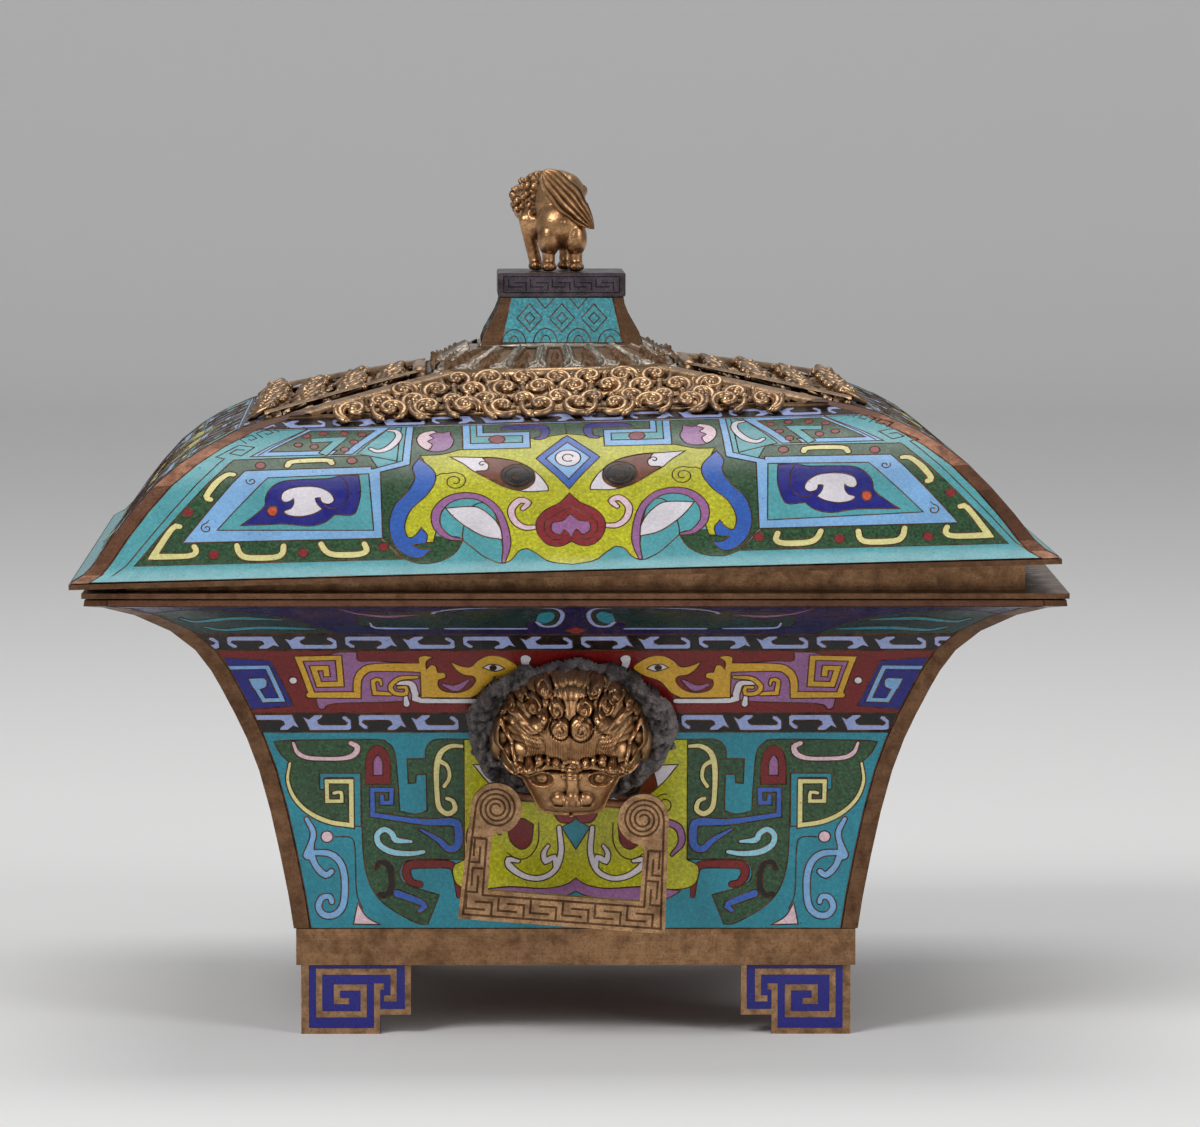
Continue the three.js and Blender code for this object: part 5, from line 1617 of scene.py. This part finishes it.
def bail_grooves():
    """The border lines, a spiral on each disc, and the frets down the sides and along the bar."""
    low = -BAIL_DROP + EDGE
    high = inner_z - EDGE
    outer = BAIL_HALF - EDGE
    inner = inner_x + EDGE
    turn_in = SCROLL_RADIUS - EDGE
    top = SCROLL_Z - SCROLL_RADIUS - 1.6
    disc_x = SCROLL_X + turn_in
    lines = [cut_line([(-disc_x, SCROLL_Z), (-outer, low), (outer, low), (disc_x, SCROLL_Z)]),
             cut_line([(-inner, top), (-inner, high), (inner, high), (inner, top)])]
    for side, start in ((1, 0.0), (-1, math.pi)):
        lines.append(stroke(spiral(side * SCROLL_X, SCROLL_Z, turn_in, 3.4, start, side).tolist(), GROOVE))
        lines.append(cut_line([(side * inner, top), (side * (outer - 0.6), top)]))
        for k in range(2):
            cell = fret_unit((side * (outer - 0.4), top - 0.2 - FRET_PITCH * k), (0, -FRET_PITCH),
                             (side * (inner - outer + 0.4), 0))
            lines += [cut_line(line) for line in cell]
    for k in range(6):
        cell = fret_unit((-outer + 0.7 + FRET_LONG * k, low), (FRET_LONG, 0), (0, high - low))
        lines += [cut_line(line) for line in cell]
    return lines


def on_pivot(side):
    """A drop handle's own frame: it hangs from its pins and leans a little in its plane."""
    frame_here = move(MASK_X, -PIVOT_OUT, PIVOT_UP) @ turn("y", BAIL_HANG[side])
    return lambda points: carried(facing(BAIL_SHEET / 2)(points), frame_here, side)


outline = bail_outline()
grooves = bail_grooves()
for side in ("front", "back"):
    lands = engraved(f"bail_{side}", outline, grooves, BAIL_CUT, on_pivot(side), PALE_GILT,
                     f"{side}_handle", -BAIL_SHEET)
    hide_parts(f"drop_handle_{side}")
print("each handle has", len(grooves), "grooves")

# %% [markdown]
# The feet are lapis enamel with a broad gilt meander. Here the pattern stands high and the ground
# lies low. Each foot shows one face on each of its two sides, and a face is drawn once, for the
# left foot of a side, measured from the foot's outer edge.

# %% Feet
FOOT_OUTER = 85.8
FOOT_WIDE = 34.0
FOOT_NARROW = 24.5
FOOT_STEP = 6.1
FOOT_TOP = 21.7
foot_outline = [(0, 0), (FOOT_NARROW, 0), (FOOT_NARROW, FOOT_STEP), (FOOT_WIDE, FOOT_STEP),
                (FOOT_WIDE, FOOT_TOP), (0, FOOT_TOP)]
foot_lines = [
    ([(0, FOOT_TOP), (0, 0)], 4.0), ([(0, 0.9), (23.4, 0.9), (23.4, 15.0), (25.6, 15.0)], 1.9),
    ([(23.4, 6.9), (33.1, 6.9), (33.1, FOOT_TOP)], 1.9),
    ([(25.6, 11.2), (28.6, 11.2), (28.6, 19.7), (5.2, 19.7), (5.2, 6.2), (19.2, 6.2), (19.2, 14.7),
      (10.8, 14.7), (10.8, 10.4), (14.6, 10.4)], 1.9),
]
FOOT_GROUND = 0.25
MEANDER_LOW, MEANDER_HIGH = 0.05, 0.45


def from_edge(points, way):
    """Points measured from the foot's outer edge, in the side's own millimetres."""
    return (np.array(points, float) - [FOOT_OUTER, 0]) * [-way, 1]


for way, corner in ((-1, "left"), (1, "right")):
    border = from_edge(foot_outline, way)[::-way]
    meander = Design("lapis")
    for line, width in foot_lines:
        meander.cell("yellow", from_edge(cut_line(line, width), way), both=False)
    flat, faces, top, _ = laid_out(meander, border)
    points, kept = risen(flat, faces, top > 0, MEANDER_LOW, MEANDER_HIGH)
    ground = np.column_stack([flat, np.full(len(flat), FOOT_GROUND)])
    for side in SIDES:
        lay = facing(FOOT_OUTER)
        enamel = as_piece(f"foot_enamel_{side}_{corner}", placed(lay(ground), VESSEL, side), faces, ENAMEL,
                          smooth=False)
        glazed(enamel.data, Design("lapis"), np.zeros(len(faces), int))
        finished(enamel, "vessel")
        band = as_piece(f"foot_meander_{side}_{corner}", placed(lay(points), VESSEL, side), kept, PALE_GILT,
                        smooth=False)
        finished(band, "vessel", 0.0)
print("eight foot faces carry the meander")

# %% [markdown]
# The finial's pedestal is worn turquoise with lozenges and arches in wire, between bare bronze
# corners. The dark cap over it has an engraved frame round a shallow meander, and a grey bead lies
# along the pedestal's foot on each side.

# %% Pedestal and cap
CAP_HALF = 20.25
CAP_LOW = 16.5
CAP_PROUD = 0.25
CAP_CUT = 0.22
CAP_BACK = -0.3
PEDESTAL = np.array([[25.8, 1.9], [24.7, 5], [23, 8], [21.2, 11.2], [20.1, 14], [19.75, 16.2]])
lozenges = Design("worn_turquoise")
face_top = unrolled(PEDESTAL)[-1]
for x, y, half, high in ((0, 8.6, 4.1, 5), (0, 8.6, 1.7, 2.1), (10.3, 8.6, 4.1, 5),
        (10.3, 8.6, 1.7, 2.1), (5.3, face_top + 1.4, 4.1, 5)):
    line = np.array([[x - half, y], [x, y + high], [x + half, y], [x, y - high], [x - half, y]])
    for way in ((1, -1) if x else (1,)):
        lozenges.wire(line * [way, 1], both=False)
for x, half, high in ((5.3, 3.9, 5.6), (5.3, 1.7, 3.2), (15.4, 3.9, 5.2), (15.4, 1.6, 3)):
    for way in (1, -1):
        lozenges.wire(np.array([0, -0.7]) + arc(0, 0, 1, 0, 180) * [half, high] + [way * x, 0],
            both=False)
pedestal_border = np.array([[19.4, 0], [16.3, face_top], [-16.3, face_top], [-19.4, 0]])


def clipped(run, border):
    """The stretches of a run that lie inside a border, cut finely."""
    fine = np.concatenate([np.linspace(a, b, 24, endpoint=False) for a, b in zip(run[:-1], run[1:])])
    held = inside(fine, border)
    parts = np.split(np.arange(len(fine)), np.flatnonzero(np.diff(held.astype(int))) + 1)
    return [fine[p] for p in parts if held[p[0]] and len(p) > 2]


lozenges.wires = [part for run in lozenges.wires for part in clipped(run, pedestal_border)]
pedestal_parts = laid_out(lozenges, pedestal_border, unrolled(PEDESTAL)[1:-1])
cap_border = np.array([[-20, 0.3], [20, 0.3], [20, 7.3], [-20, 7.3]])
cap_lines = [cut_line([(-18.6, 1.3), (18.6, 1.3), (18.6, 6.4), (-18.6, 6.4), (-18.6, 1.3)], 0.35)]
for k in range(5):
    cell = fret_unit((-17 + 7 * k, 2.0), (7, 0), (0, 3.7))
    cap_lines += [cut_line(line, 0.4) for line in cell]



def on_cap(side):
    """The plane of the cap's face on one side, a little in front of the cap."""
    return lambda points: placed(facing(CAP_HALF + CAP_PROUD)(points) + [0, 0, CAP_LOW], UPRIGHT, side)


for side in SIDES:
    laid_on("pedestal", "lid", UPRIGHT, PEDESTAL, lozenges, pedestal_parts, side)
    engraved(f"cap_{side}", cap_border, cap_lines, CAP_CUT, on_cap(side), DARK_BRONZE, "lid",
             CAP_BACK)
bead = [roll_line(np.array([[-25.6, -26.0], [-9, -26.05], [9, -26.0], [25.6, -26.0]]), 0.9, 1.0, 1.0)]
bead_points, bead_faces = rolled(bead)
for side in SIDES:
    foot_bead = as_piece(f"pedestal_foot_{side}", placed(bead_points, UPRIGHT, side), bead_faces, GREY_GILT)
    finished(foot_bead, "lid", 0.0)
print("pedestal and cap are dressed")

# %% [markdown]
# The finial is a guardian lion, cast in the round and seen from behind, with its head turned to
# the left. Eggs and rolls are first melted into one skin by a voxel remesh. Curls, toes, ribs and
# the face are then pressed on: a press moves the skin along its normals near one spot.

# %% Finial lion
LION_EGGS = [
    [0, -6.5, 13.8, 8, 6.5, 7.4], [-0.6, -1, 20.2, 8.4, 8.5, 10], [2, -1, 22, 6, 7.5, 7.4],
    [-4, 3.5, 20, 7.6, 7.5, 8.8], [-8, 3.4, 14.6, 5, 5.5, 6.5], [-6, 4, 23.4, 7.4, 7, 6.6],
    [-9.3, 7, 20.6, 6.4, 6, 6.8], [-11, 10.5, 17.8, 4, 4.2, 3.6], [7.1, -1.5, 24, 1.6, 1.6, 1.8],
    [4.6, -8, 10, 3.8, 4.6, 5.6], [-3.8, -8, 10, 3.8, 4.6, 5.6],
]
LION_LEGS = [
    [4.8, -8.6, 2.1, 10, 0], [-4, -8.6, 2.1, 10, 0], [-7.8, 1, 2.1, 15, 0.24], [1.6, 6, 2, 18, 0],
]
TAIL = {"at": (2.3, -11.3, 21.4), "long": 12.0, "wide": 4.6, "thick": 2.8, "fall": 46.0}
LION_STRETCH = 1.08
EGG_ROWS, EGG_COLUMNS = 28, 40
LION_AT = UPRIGHT @ move(0, 0, CAP_TOP) @ np.diag([1, 1, LION_STRETCH, 1])


def egg(x, y, z, rx, ry, rz):
    """An ellipsoid: its centre plus the three radii times a point of the unit ball."""
    a = np.linspace(0, math.pi, EGG_ROWS)[:, None]
    b = np.linspace(0, 2 * math.pi, EGG_COLUMNS, endpoint=False)[None, :]
    ball = np.stack(np.broadcast_arrays(np.sin(a) * np.cos(b), np.sin(a) * np.sin(b), np.cos(a)), -1)
    return ball.reshape(-1, 3) * [rx, ry, rz] + [x, y, z], hoops(EGG_ROWS, EGG_COLUMNS)


def joined_eggs(eggs):
    """Several point and face lists as one."""
    points, faces, start = [], [], 0
    for p, f in eggs:
        points.append(p)
        faces.append(f + start)
        start += len(p)
    return np.concatenate(points), np.concatenate(faces)


def melted(name, points, faces, voxel, rounds):
    """One closed skin round overlapping shapes, smoothed, as a mesh in millimetres."""
    rough = as_piece(name, points, faces, GILT)
    remesh = rough.modifiers.new("melt", "REMESH")
    remesh.mode = "VOXEL"
    remesh.voxel_size = voxel
    smooth = rough.modifiers.new("smooth", "SMOOTH")
    smooth.iterations = rounds
    smooth.factor = 0.5
    skin = bpy.data.meshes.new_from_object(rough.evaluated_get(bpy.context.evaluated_depsgraph_get()))
    bpy.data.objects.remove(rough)
    places = np.empty(len(skin.vertices) * 3)
    skin.vertices.foreach_get("co", places)
    normals = np.empty(len(skin.vertices) * 3)
    skin.vertex_normals.foreach_get("vector", normals)
    quads = np.array([list(p.vertices) for p in skin.polygons])
    return places.reshape(-1, 3), normals.reshape(-1, 3), quads


class Skin:
    """A melted skin whose vertices can be pressed in and out."""

    def __init__(self, points, normals, faces):
        """The skin as it was melted, with nothing marked as hollow."""
        self.points, self.normals, self.faces = points, normals, faces
        self.mark = np.zeros(len(points))

    def press(self, at, radius, rise, dark=0.0):
        """Near a spot, the skin moves by rise times the root of 1 - (distance over radius) squared."""
        away = np.linalg.norm(self.points - at, axis=1) / radius
        share = np.sqrt(np.clip(1 - away**2, 0, 1))
        self.points += self.normals * (share * rise)[:, None]
        self.mark = np.maximum(self.mark, share * dark)

    def nearest(self, at):
        """The vertex nearest to a spot."""
        return self.points[np.linalg.norm(self.points - at, axis=1).argmin()].copy()

    def curl(self, at, radius):
        """A curl seen end on: a dark ring pressed in, and a pellet raised in it."""
        at = self.nearest(np.array(at, float))
        away = np.linalg.norm(self.points - at, axis=1) / radius
        ring = np.exp(-((away - 1) / 0.22) ** 2)
        self.points -= self.normals * (ring * radius * 0.3)[:, None]
        self.mark = np.maximum(self.mark, ring * 0.9)
        self.press(at, radius * 0.8, radius * 0.55)

    def line(self, points, width, rise, dark=0.0):
        """A ridge or, with a negative rise, a groove along a run of spots near the skin."""
        run = np.array(points, float)
        for a, b in zip(run[:-1], run[1:]):
            for t in np.linspace(0, 1, 6, endpoint=False):
                at = self.nearest(a + (b - a) * t)
                away = np.linalg.norm(self.points - at, axis=1) / width
                share = np.exp(-(away * 1.5) ** 2) * 0.35
                self.points += self.normals * (share * rise)[:, None]
                self.mark = np.maximum(self.mark, share * 2.4 * dark)


pieces = [egg(*e) for e in LION_EGGS]
for x, y, radius, top, lean_out in LION_LEGS:
    for t in np.linspace(0, 1, 9):
        pieces.append(egg(x - lean_out * top * t, y, 1.6 + (top - 1.6) * t, radius, radius, 2.4))
    pieces.append(egg(x, y - 1.2, 1.5, 2.7, 3.4, 1.5))
points, faces = joined_eggs(pieces)
points[:, 2] = np.maximum(points[:, 2], 0.1)
lion = Skin(*melted("finial_lion_body", points, faces, 0.34, 4))
chance = np.random.default_rng(3)
MANE_ROWS = ((18, 20, 8), (21, 23, 9), (24.5, 26, 8), (27, 28.4, 6), (29, 29.6, 4))
for ring, (low, high, count) in enumerate(MANE_ROWS):
    for k in range(count):
        a = math.radians(150 + 190 * (k + 0.5 * (ring % 2)) / count)
        reach_out = 7.2 * math.cos(max(0, (low - 22)) / 9)
        height = chance.uniform(low, high)
        radius = chance.uniform(1.05, 1.45)
        lion.curl((-8.2 + reach_out * math.cos(a), 5.4 + reach_out * math.sin(a), height), radius)
for x, y in ((4.8, -12.6), (-4, -12.6), (-7.8, -3.2), (1.6, 3.0)):
    for step in (-1, 0, 1):
        lion.line([(x + step * 0.9, y, 2.2), (x + step * 0.9, y - 0.5, 0.6)], 0.5, -0.7, 0.8)
face_out = np.array([-0.42, 0.78, -0.46])
face_side = np.array([0.88, 0.47, 0.0])
face_up = np.cross(face_side, face_out)
head = np.array([-9.9, 8.2, 20.4])


def on_face(out, aside, up):
    """A spot in front of the lion's face, measured from the middle of its head."""
    return head + face_out * out + face_side * aside + face_up * up


# Brow, eye socket, eyeball, ear and nostril: out, aside, up, radius, rise and darkness.
FACE_PRESSES = [
    (5, 2.7, 1.6, 1.9, 0.9, 0), (6, 2.5, 0.9, 1, -0.7, 1), (6, 2.5, 0.9, 0.55, 0.7, 0),
    (0, 6.4, 3.4, 1.7, 1.3, 0), (9, 1.2, -0.6, 0.8, 0.6, 0),
]
for way in (-1, 1):
    for out, aside, up, radius, rise, dark in FACE_PRESSES:
        lion.press(lion.nearest(on_face(out, aside * way, up)), radius, rise, dark)
lion.line([on_face(7, w, -3.2 - 0.05 * w * w) for w in np.linspace(-3.6, 3.6, 9)], 0.6, -1.6, 1.0)
lion.line([on_face(6, 0, 2.4), on_face(8, 0, 0.2)], 0.9, 1.0)
for k in range(9):
    z = 16 + k * 1.55
    lion.line([(0.4 + k * 0.35, -12, z - 1), (1.6 + k * 0.3, -11.5, z)], 0.7, -0.4, 0.4)
cast_points = carried(lion.points, np.linalg.inv(VESSEL) @ LION_AT, "front")
body = as_piece("finial_lion_cast", cast_points, lion.faces, GILT)
# The marks darken the curls' rings, the eye sockets, the mouth, the toes and the spine grooves: painted
# shade, with dirt.
finished(body, "lid", lion.mark)
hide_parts("finial_lion")

# %% Lion's tail
def tail_leaf():
    """A flame-shaped leaf. Its width is a power of 1 less (way along) squared, its section half as
    thick as an ellipse's, and its outer side rises and falls in a cosine: five ribs run from the
    root and meet at the tip, where the leaf comes to a point."""
    along = np.linspace(-1, 1, 120)[:, None]
    round_it = np.linspace(0, 2 * math.pi, 96, endpoint=False)[None, :]
    narrowing = np.where(along > 0, 0.8, 0.5)
    width = TAIL["wide"] * np.clip(1 - along**2, 0, 1) ** narrowing * (1.04 - 0.14 * along)
    width = width * (1 + 0.05 * np.cos(9 * along) * (along < 0.4))
    share = np.cos(round_it)
    narrows = np.sqrt(np.clip(1 - along**2, 0, 1))
    ribs = 0.36 * np.cos(5 * math.pi * share + 1.4 * share**2 + 0.5 * along) * narrows
    out = TAIL["thick"] * narrows * np.sin(round_it) + ribs * (np.sin(round_it) > 0)
    points = np.stack(np.broadcast_arrays(along * TAIL["long"], -out, width * share), -1).reshape(-1, 3)
    # The troughs between the ribs are darkened: painted shade, with dirt.
    marks = np.clip(-np.broadcast_to(ribs, out.shape).ravel() * 2.6, 0, 1)
    return points, hoops(*out.shape), marks


points, quads, marks = tail_leaf()
points = placed(points, LION_AT @ move(*TAIL["at"]) @ turn("y", TAIL["fall"]))
tail = as_piece("finial_lion_tail", points, quads, GILT)
finished(tail, "lid", marks)
print("the lion has", len(lion.points), "vertices")
